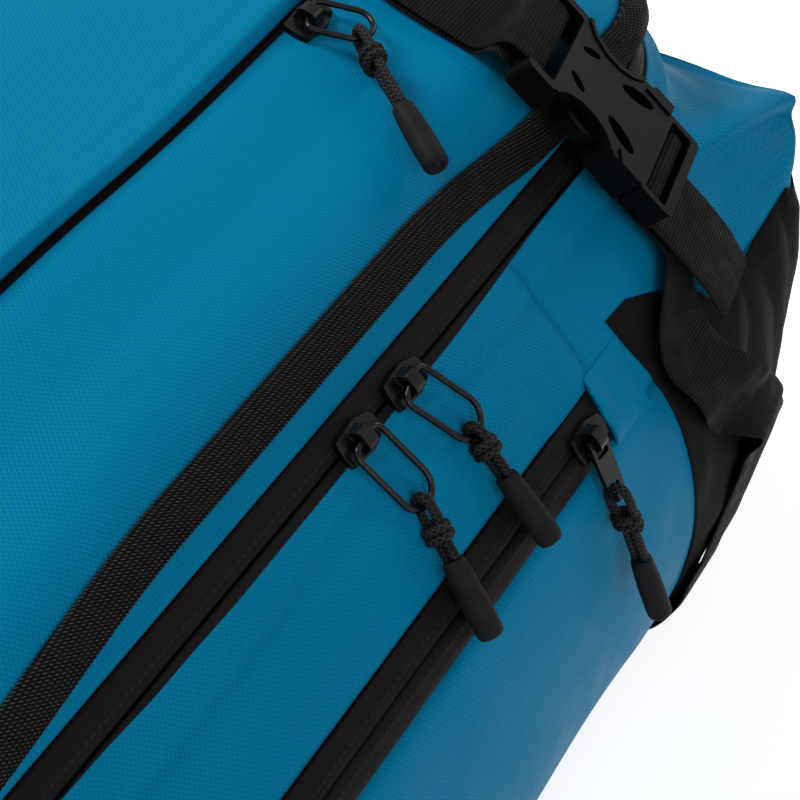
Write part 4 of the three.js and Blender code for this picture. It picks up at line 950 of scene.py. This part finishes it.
def corner_wing(side, name, trees):
    """Black fabric round the upper corners, pulled into creases that run towards the buckle."""
    c = np.concatenate([np.linspace(0, 2, 42)[:-1], np.linspace(2, 8, 40)])
    top = np.interp(c, [0, 0.2, 0.5, 0.75, *range(1, 9)],
                    [7.5, 7.45, 6.6, 5.9, 5.95, 6.15, 5.9, 5.8, 5.7, 5.6, 5.5, 5.4])
    low_arc, top_arc = arc_of(0.12), arc_of(top)[:, None]
    v = v_of(low_arc + (top_arc - low_arc) * np.linspace(0, 1, 56))
    c = c[:, None]
    rows = level_at(v)
    edge = np.interp(v, [0, 2.9, 4.3, 5.2, 6.6, 7.6], [139, 129, 121, 117, 112, 109])
    share = np.where(c < 1, 0.6 * c, 0.6 + 0.4 * np.clip(c - 1, 0, 1))
    y = edge + (rows[..., 1] - rows[..., 2] - edge) * share
    round_corner = np.interp(c, range(2, 9), [1, 1.2, 1.4, 1.5, 1.6, 1.8, 2])
    base, out = on_surface(np.where(c <= 2, u_of_y(v, y), round_corner), v)
    under = height_over(base, out, trees)
    uv = grid_uv(base)
    crease = 1.5 * np.abs(waves(base * [0.5, 1.3, 0.45], 34, 71)) + 0.5 * waves(base, 17, 73)
    flat_top = smooth(5.2, 6.4, v) * (1 - smooth(150, 166, base[..., 1]))
    swell = (1.3 + crease) * smooth(0, 7, edge_distance(uv))
    lift = 0.6 + swell * (1 - 0.9 * flat_top) - 0.3 * flat_top
    high, low = under + lift + 0.25, under + np.minimum(0.35, lift)
    return layer(name, "bag", base, out, high, low, uv, BLACK, BLACK, side=side)


# ---- webbing

WEB_WIDE, WEB_THICK = 30, 1.5


def spline(points, step):
    """A smooth line through points, and how far along each new point is, for any columns."""
    p = np.asarray(points, float)
    s = run(p[:, :3])
    m = np.zeros_like(p)
    h = np.diff(s)[:, None]
    d = np.diff(p, axis=0) / h
    m[1:-1] = (d[:-1] * h[1:] + d[1:] * h[:-1]) / (h[:-1] + h[1:])
    m[0], m[-1] = d[0], d[-1]
    at = np.linspace(0, s[-1], max(8, int(s[-1] / step)))
    i = np.clip(np.searchsorted(s, at, side="right") - 1, 0, len(s) - 2)
    return hermite(p[i], p[i + 1], m[i], m[i + 1], h[i], (at - s[i])[:, None] / h[i]), at


def ribbon(name, body, places, step, width=WEB_WIDE, thick=WEB_THICK, curl=None):
    """A strap along places of (point, direction of its width), with rounded selvedges."""
    q, s = spline([[*p, *w] for p, w in places], step)
    p, w = q[:, :3], unit(q[:, 3:])
    n = unit(np.cross(w, np.gradient(p, axis=0)))
    a = np.sin(np.linspace(-1, 1, 13) * math.pi / 2) * width / 2
    half = thick / 2 * np.sqrt(np.clip(1 - np.abs(2 * a / width) ** 12, 0.12, 1))
    rise = curl(s[:, None], a) if curl else np.zeros((len(p), len(a)))
    mid = p[:, None] + w[:, None] * a[:, None]
    uv = together(s[:, None], a)
    return layer(name, body, mid, n[:, None], rise + half, rise - half, uv, WEB, WEB)


def ribbon_pair(name, bodies, places, step, **how):
    """A strap on the right and its mirrored copy on the left."""
    piece = ribbon(name + "_right", bodies[0], places, step, **how)
    left_copy(piece, name + "_left", bodies[1])


def node_points(node):
    """A CAD node's corners in mm, each once."""
    return np.unique(np.round(mesh_points(frame["nodes"][node].data), 3), axis=0)


JOINTS = {j["name"]: j for j in frame["joints"]}
BUCKLE_TURN = math.radians(11)
BUCKLE_X = unit(np.array(JOINTS["buckle_release_right"]["axis"], float))
BUCKLE_Y = unit(np.array([-math.sin(BUCKLE_TURN), math.cos(BUCKLE_TURN), 0]))
BUCKLE_Z = np.cross(BUCKLE_X, BUCKLE_Y)
BUCKLE_START, MOUTH, BUCKLE_THICK = -33, 18, 11
TAIL_LOW = 1 - GAP - WEB_THICK / 2
ALONG_Y = np.array([0, 1.0, 0])


def buckle_origin():
    x, y, z = (node_points("buckle_female_right") @ way for way in (BUCKLE_X, BUCKLE_Y, BUCKLE_Z))
    middle = (y.min() + y.max()) / 2
    return (x.min() - BUCKLE_START) * BUCKLE_X + middle * BUCKLE_Y + z.min() * BUCKLE_Z


ORIGIN = buckle_origin()


def in_buckle(x, z):
    """A place in the buckle's own frame, with the direction of the webbing's width there."""
    return ORIGIN + x * BUCKLE_X + z * BUCKLE_Z, BUCKLE_Y


def strap_tail():
    """Up through the lock, over its bar, down, and out as a free end that hangs over the edge."""
    bar_top = 7
    over = bar_top + GAP + WEB_THICK / 2
    up, bar, slot, down = MOUTH + 4.2, MOUTH + 5.8, MOUTH + 8.4, MOUTH + 10
    tail_x, tail_long = 34, 40
    places = [in_buckle(x, z) for x, z in (
        (up, TAIL_LOW - 0.75), (up, over - 2.2), (up + 0.7, over - 0.4), (bar + 0.3, over),
        (slot - 0.3, over), (down - 0.7, over - 0.4), (down, over - 2.2), (down, TAIL_LOW + 2.4),
        (down + 0.3, TAIL_LOW + 0.8), (down + 1.4, TAIL_LOW), (tail_x, TAIL_LOW),
    )]
    for f in (0.2, 0.4, 0.6, 0.8, 1.0):
        droop = 1.2 * math.sin(f * math.pi) - 2.44 * f
        places.append(in_buckle(tail_x + tail_long * f, TAIL_LOW + droop))

    def curl(s, a):
        end = smooth(s.max() - 14, s.max(), s)
        return 0.5 * (2 * a / WEB_WIDE) ** 2 * end + 0.45 * end * (s > s.max() - 9)

    ribbon_pair("strap_tail", ("male_half_right", "male_half_left"), places, 0.8, curl=curl)


def load_webbing(trees):
    """The slack between the lock and the back seam, gathered in loose folds down the side."""
    low = TAIL_LOW - WEB_THICK * 1.5 - GAP
    places = [in_buckle(MOUTH + 3.2, low), in_buckle(29, low)]
    y0 = places[1][0][1] + 3
    arc_top, arc_low = arc_of(7.5), arc_of(0.3)
    drop = np.linspace(0, 1, 46)
    stops = [0, 0.08, 0.16, 0.24, 0.32, 0.4, 0.48, 0.56, 0.66, 0.8, 1]
    even = lambda values: np.convolve(
        np.pad(np.interp(drop, stops, values), 2, "edge"), [0.1, 0.2, 0.4, 0.2, 0.1], "valid")
    aside = even([0, -21, -27, -24, -14, 0, 6, 5, 0, -8, -13])
    rise = even([1, 0.6, 0.6, 5, 1.5, 8, 3, 0.6, 0.6, 0.3, 0])
    for f, sway, up in zip(drop, aside, rise):
        v = v_of(arc_top + (arc_low - arc_top) * f)
        lean, flat = min(1, f * 5), smooth(0.42, 0.52, f)
        w = unit(BUCKLE_Y * (1 - lean) + ALONG_Y * lean)
        base, out = on_surface(u_of_y(v, y0 + sway), v)
        rows = [surface(u_of_y(v, y0 + sway + t), v) for t in (-15, -8, 0, 8, 15)]
        cover = max(height_over(b, out, trees) + (b - base) @ out for b in rows) * (1 - flat)
        cover = cover + flat * height_over(base, out, trees)
        loose = math.sin(f * 23 + 1) * smooth(0.12, 0.3, f) * (1 - flat) * 0.8
        twist = unit(w + np.array([0.25, 0, 0.3]) * loose)
        twist = unit(twist - (twist @ out) * out * flat)
        lift = max(1.3 + up, abs(twist @ out) * WEB_WIDE / 2 + 1.1)
        places.append((base + out * (cover + lift), twist))
    ribbon_pair("load_webbing", ("bag", "bag"), places, 1.0)


def front_strap(trees):
    """One webbing over the front. Each end loops round a buckle's bar and is sewn back."""
    t = WEB_THICK / 2
    start, bar_end, mid = BUCKLE_START, -28.5, BUCKLE_THICK / 2
    reach = 2.5 + GAP + t
    loop = [in_buckle(x, z) for x, z in (
        (start - 5, mid - reach), (start + 0.4, mid - reach), (bar_end - 0.6, mid - reach),
        (bar_end + reach * 0.55, mid - reach * 0.66), (bar_end + GAP + t + 0.2, mid),
        (bar_end + reach * 0.55, mid + reach * 0.66), (bar_end - 0.6, mid + reach),
        (start + 0.4, mid + reach), (start - 5, mid + reach * 0.85),
    )]
    y = loop[0][0][1] + 7
    doubled = WEB_THICK + GAP

    def on(x, extra):
        top = np.nanmax(top_of(x, y + np.linspace(-WEB_WIDE / 2, WEB_WIDE / 2, 7), trees))
        return np.array([x, y, top + 0.2 + t + extra]), ALONG_Y

    def half(side):
        ends = [(p * [side, 1, 1], w * [side, 1, 1]) for p, w in loop]
        lower = [on(side * x, extra) for x, extra in ((66, 0.9), (84, 0.8), (97, 1.0))]
        upper = [on(side * x, extra + doubled) for x, extra in ((97, 1.1), (84, 0.9), (66, 1.1))]
        return [*lower, *ends, *upper]

    middle = [on(57, 1.6), on(47, 0.5)] + [on(x, 0.2) for x in (20, 0, -20, -47)]
    ribbon("front_strap", "lid", [*half(1), *middle, *reversed(half(-1))], 1.2)


def haul_loop():
    z = level_at(1.0)[4]
    thick, stand_off = WEB_THICK * 1.6, 24
    seat = max(surface(3.0, v)[1] for v in (0.7, 1.0, 1.5)) + 2.6
    sewn = [(np.array([x, seat, z]), UP) for x in (86, 75, 64)]
    arch = []
    for t in np.linspace(0, 1, 16):
        rise = math.sin(math.pi * (0.12 + 0.76 * t)) ** 0.8
        y = seat + (HALF_LENGTH + stand_off - thick / 2 - seat) * rise
        arch.append((np.array([52 - 104 * t, y, z + 1.2 * math.sin(3 * t)]), UP))
    other = [(p * [-1, 1, 1], w) for p, w in reversed(sewn)]
    ribbon("haul_loop", "bag", [*sewn, *arch, *other], 1.2, width=25, thick=thick)


# ---- the back and its harness


def back_panel():
    """Padded mesh back with moulded channels between its cushions."""
    u = ring_u(6.0, 0)[:, None]
    hx, hy, *_ = level_at(0.0)
    rim = [0, 0.6, 1.6, 3.2, 5.5, 8]
    inset = np.concatenate([rim, np.linspace(12, hx - 1.5, 34)])
    radius = np.maximum(BACK_CORNER_Y - inset * 0.5, 1)
    x, y = rounded(u, hx - inset, hy - inset, radius, radius)
    roll = np.interp(inset, rim, [6.5, 4.2, 2.6, 1.2, 0.4, 0])
    ax = np.abs(x)
    grooves = 4.2 * bell(ax, 5, 17) * within(-200, -170, 150, 185, y)
    for middle in (-118, -38, 42, 120):
        channel = bell(y - middle - 0.10 * ax, 4.5)
        grooves = np.maximum(grooves, 4.0 * channel * within(10, 20, 138, 158, ax))
    frame_line = 2.2 * bell(np.minimum(hx - ax, hy - np.abs(y)), 3.2, 15)
    low = BACK_PANEL_Z + np.maximum(np.maximum(grooves, frame_line), roll)
    high = BACK_PANEL_Z + BACK_THICK - 0.12 * roll
    grids = [together(*xyz)[::-1] for xyz in ((x, y, low), (x, y, high), (x, y))]
    piece = slab("back_panel", "bag", *grids, PAD, PAD, True)
    close_middle(piece, len(u), len(inset))


def shoulder_strap():
    """A foam strap in mesh, thickest along its middle, with a bound edge."""
    half_wide, middle_z = 31, 6.05
    path = [(50, 208, 0), (52, 130, 0), (84, 40, 0), (112, -50, 0), (118, -118, 0)]
    q, s = spline(path, 4.0)
    t = np.abs(2 * np.linspace(0, 1, len(q)) - 1)[:, None]
    along = unit(np.gradient(q[:, :2], axis=0))
    side = np.stack([-along[:, 1], along[:, 0]], -1)
    a = np.sin(np.linspace(-1, 1, 25) * math.pi / 2)
    across = half_wide * np.sqrt(1 - np.clip((t - 0.9) / 0.1, 0, 1) ** 2 * 0.75) * a
    crown = np.sqrt(np.clip(1 - np.abs(a) ** 3.2, 0, 1))
    stitch = 0.9 * bell((1 - np.abs(a)) * half_wide, 1.2, 5)
    half = (1.4 + 4.4 * crown - stitch) * np.sqrt(np.clip(1 - t ** 26, 0.16, 1))
    xy = q[:, None, :2] + side[:, None] * across[..., None]
    outer, inner = (np.concatenate([xy, (middle_z + way * half)[..., None]], -1)[::-1]
                    for way in (1, -1))
    uv = together(s[:, None], across)[::-1]
    right = slab("shoulder_strap_right", "bag", outer, inner, uv, PAD, PAD)
    for piece in (right, left_copy(right, "shoulder_strap_left", "bag")):
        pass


def strap_webbing():
    """Up through the adjuster's upper slot, over the bar, down the lower one, out to the corner."""
    x, y, length, z0, z1 = 118, -136, 30, 2.2, 7.2  # the adjuster's middle, length and faces
    across = np.array([1.0, 0, 0])
    lean = unit(np.array([1, 0.42, 0]))
    top, low = z1 + GAP + WEB_THICK / 2, z0 - 1.2
    a, b = y - 7.5, y + 7.5
    corner_x, corner_y = HALF_WIDTH - BACK_CORNER_X, BACK_CORNER_Y - HALF_LENGTH
    end = np.array([corner_x, corner_y, BACK_PANEL_Z - GAP - WEB_THICK / 2])
    turn = np.array([x + 6, y - length / 2 - 6, low])
    far = turn + (end - turn) * [0.7, 0.7, 0.8]
    threaded = [
        (x, b, low + 0.6), (x, b, z1 - 1), (x, b - 1.5, top - 0.4), (x, b - 4, top),
        (x, a + 4, top), (x, a + 1.5, top - 0.4), (x, a, z1 - 1), (x, a - 0.3, low + 1),
        (x + 0.5, a - 1.6, low), (x + 2, a - 5, low),
    ]
    places = [*[(p, across) for p in threaded], *[(p, lean) for p in (turn, far, end)]]
    ribbon_pair("strap_webbing", ("bag", "bag"), places, 1.0, width=20)


# ---- moulded and cast pieces


def refined(node, body, look, width):
    """A CAD node's own shape with its edges rounded off."""
    mesh = having(frame["nodes"][node].data.copy(), name=node + "_look")

    def change(bm):
        bmesh.ops.remove_doubles(bm, verts=bm.verts, dist=0.00002)
        bmesh.ops.dissolve_limit(bm, angle_limit=math.radians(1.5), verts=bm.verts, edges=bm.edges)

    edited(mesh, change)
    mesh.materials.clear()
    mesh.materials.append(look.mat)
    piece = put(node + "_look", mesh)
    having(piece.modifiers.new("edges", "BEVEL"), width=width * MM, segments=2,
           limit_method="ANGLE", angle_limit=math.radians(32), miter_outer="MITER_ARC",
           use_clamp_overlap=True)
    mesh.polygons.foreach_set("use_smooth", [True] * len(mesh.polygons))
    having(piece.modifiers.new("flats", "WEIGHTED_NORMAL"), mode="FACE_AREA_WITH_ANGLE", weight=100,
           keep_sharp=True)
    graph = bpy.context.evaluated_depsgraph_get()
    mesh = bpy.data.meshes.new_from_object(piece.evaluated_get(graph))
    piece.modifiers.clear()
    piece.data = mesh
    finish(piece, node, body)


def ring_ways(sides, a, b):
    """Directions all round, from a towards b."""
    k = np.arange(sides)[:, None] / sides * TURN
    return np.cos(k) * a + np.sin(k) * b


def tube(name, body, path, radius, look, sides, closed=False):
    """A round tube along a path of points in mm."""
    p = np.asarray(path, float)
    d = unit(np.roll(p, -1, 0) - np.roll(p, 1, 0) if closed else np.gradient(p, axis=0))
    a = unit(np.cross(d, np.linalg.svd(p - p.mean(0))[2][2]))
    rings = p[:, None] + radius * ring_ways(sides, a[:, None], np.cross(a, d)[:, None])
    uvs = together(run(p)[:, None], np.arange(sides) / sides * TURN * radius)
    return skin(name, body, rings, uvs, look, closed)


def axes_of(node, pivot, length=None):
    """A pull's or cord's own axes: along it away from the pivot, across it, and its flat side."""
    p = node_points(node)
    x, z = np.linalg.svd(p - p.mean(0), full_matrices=False)[2][:2]
    if (p.mean(0) - pivot) @ x < 0:
        x = -x
    y = np.cross(x, z)
    along, wide, flat = p @ x, p @ z, p @ y
    middle = z * (wide.min() + wide.max()) / 2 + y * (flat.min() + flat.max()) / 2
    start = along.min() if length is None else along.max() - length
    return middle + x * start, x, z, y


def pivot_of(name):
    first, _, side = name.partition("_")
    joint = JOINTS[first + "_pull_hinge" + ("_" + side if side else "")]
    return np.array(joint["pos_m"], float) / MM - SHIFT


# ---- sliders, pulls and cords

CORD, RING_WIRE, TAB_BAR = 3.0, 0.95, 1.5
CORD_SIDES, RING_SIDES, END_SIDES = 12, 14, 28


def wire_ring(name, length, body):
    """A D ring of round wire, its straight bar in the slider's eye."""
    o, x, z, _ = axes_of(name + "_pull", pivot_of(name))
    o = o + x * RING_WIRE
    half, r, quarter = 6.3, 2.6, math.pi / 2
    path = []
    for cx, cy, radius, a0, a1, n in (
        (r, r - half, r, -math.pi, -quarter, 8),
        (length - half - RING_WIRE, 0, half, -quarter, quarter, 22),
        (r, half - r, r, quarter, math.pi, 8),
    ):
        for a in np.linspace(a0, a1, n):
            path.append(o + x * (cx + radius * math.cos(a)) + z * (cy + radius * math.sin(a)))
    tube(name + "_pull_look", body, path, RING_WIRE, METAL, RING_SIDES, closed=True)


def knot(name, o, x, z, y, at, gap, body):
    """The cord's own turns round both of its strands, drawn tight."""
    turns, long, wide, thick, strand = 2, 5.0, gap + 2.15, 2.75, 1.35
    t = np.linspace(0, 1, 64)[:, None]
    a = turns * TURN * t + 0.6
    path = o + x * (at + long * (t - 0.5) + 0.5 * np.sin(a))
    path = path + z * wide * np.cos(a) + y * thick * np.sin(a)
    return tube(name + "_knot", body, path, strand, BRAID, CORD_SIDES)


def moulded_end(name, body):
    """A slim rubber end: waisted at the cord, with a flat tip that has a ring sunk in it."""
    node = name + "_cord_end"
    o, x, z, y = axes_of(node, pivot_of(name))
    profile = np.array([  # radius, and distance along
        (0.01, 0.9), (1.9, 0.9), (2.1, 0.2), (2.75, 0), (3.2, 0.35), (3.42, 1.2), (3.62, 4),
        (3.78, 7), (3.95, 11), (4.0, 16), (3.98, 21.4), (3.84, 22.9), (3.5, 23.7), (3.1, 24.0),
        (2.2, 24.0), (2.0, 23.85), (1.9, 23.3), (1.2, 23.2), (0.9, 23.5), (0.01, 23.55),
    ])
    r, a = profile[:, :1, None], profile[:, 1:, None]
    rings = o + x * a + r * ring_ways(END_SIDES, z, y)
    uvs = together(a[..., 0], np.arange(END_SIDES) / END_SIDES * TURN * profile[:, 0].max())
    piece = skin(node + "_look", body, rings, uvs, RUBBER)
    piece.data.set_sharp_from_angle(angle=math.radians(50))
    return piece


def cord_and_end(name, length, bar, body, knot_at):
    """A braided cord doubled round a bar, both strands running into a moulded end."""
    node = name + "_cord"
    o, x, z, y = axes_of(node, pivot_of(name), length)
    turn, close = bar + 0.35 + CORD / 2, 1.56
    side = [(length, close), (length - 4, close), (length * 0.5, close + 0.1), (turn + 1.5, turn),
            (0.8, turn), (-turn * 0.75, turn * 0.75)]
    back = [(a, -b) for a, b in reversed(side)]
    line, _ = spline([(a, b, 0) for a, b in [*side, (-turn - 0.3, 0), *back]], 0.8)
    path = o + x * line[:, :1] + z * line[:, 1:2]
    piece = tube(node + "_look", body, path, CORD / 2, BRAID, CORD_SIDES)
    extra = [moulded_end(name, body), knot(name, o, x, z, y, knot_at, close, body)]


def all_pulls():
    for name, side, cord, ring, knot_at in (
        ("upper", "", 14, 27, 4.5), ("lower", "", 16, 27, 8.0), ("pocket", "", 28, 20, 8.5),
        ("side_right", "_right", 25, 0, 9.5), ("side_left", "_left", 25, 0, 9.5),
    ):
        first = name.partition("_")[0]
        puller = first + "_puller" + side
        refined(name + "_slider", first + "_zip" + side, METAL, 0.28)
        if ring:
            wire_ring(name, ring, puller)
        else:
            refined(name + "_pull", puller, METAL, 0.3)
        cord_and_end(name, cord, RING_WIRE if ring else TAB_BAR, puller, knot_at)


# ---- putting it together

body_shell()
front_zip()
side_zips()
lid_shell()
binding()
linings()


def tree(name):
    return tree_of(bpy.data.objects[name + "_look"])


front = tree("front_panel")
pocket = tree_of(front_pocket(front))
pocket_zip(front)
right_side = [tree(name) for name in (
    "side_panel_right", "top_end_panel", "gusset_right", "top_gusset", "side_zip_tape_right")]
for way, hand in SIDES:
    zip_garage(way, "zip_garage_" + hand, right_side)
wings = [corner_wing(way, "corner_wing_" + hand, right_side) for way, hand in SIDES]
load_webbing([*right_side, tree_of(wings[0])])
strap_tail()
front_strap([front, pocket])
haul_loop()
back_panel()
shoulder_strap()
strap_webbing()
for _, hand in SIDES:
    refined("buckle_female_" + hand, "lid", PLASTIC, 0.5)
    refined("buckle_male_" + hand, "male_half_" + hand, PLASTIC, 0.4)
    refined("strap_adjuster_" + hand, "bag", PLASTIC, 0.6)
sheet = frame["nodes"]["frame_sheet"].data
sheet.materials.clear()
sheet.materials.append(stiffener().mat)
all_pulls()

# ---- the stage


def stage():
    half, z = 4, -0.0005
    mesh = bpy.data.meshes.new("floor")
    corners = [(-half, -half, z), (half, -half, z), (half, half, z), (-half, half, z)]
    mesh.from_pydata(corners, [], [(0, 1, 2, 3)])
    look = Look("studio_floor", 0.9, 0.0)
    look.set("Base Color", (0.8, 0.8, 0.81, 1))
    look.set("Emission Color", (0.98, 0.985, 1.0, 1))
    look.set("Emission Strength", look.mul(look.seen(), 0.62))
    mesh.materials.append(look.mat)
    put("floor", mesh)
    bpy.context.scene.world = world = bpy.data.worlds.new("studio")
    sky = Nodes(world, "Background")
    sky.set("Strength", sky.mul(sky.seen(), 0.75, 0.25))
    sky.set("Color", (1, 1, 1, 1))


def lamp(name, place, target, size, power):
    light = put(name, bpy.data.lights.new(name, "AREA"))
    having(light.data, shape="RECTANGLE", size=size[0], size_y=size[1], energy=power)
    aim(light, place, Vector(target) - Vector(place))


stage()
lamp("key", (-1.0, -0.15, 1.45), (0, 0.05, 0.15), (0.6, 0.6), 27)
lamp("fill", (1.4, -0.6, 1.0), (0.1, 0, 0.15), (1.2, 1.2), 12)
lamp("rim", (0.7, 1.4, 0.9), (0.1, 0.1, 0.15), (0.8, 0.5), 5)
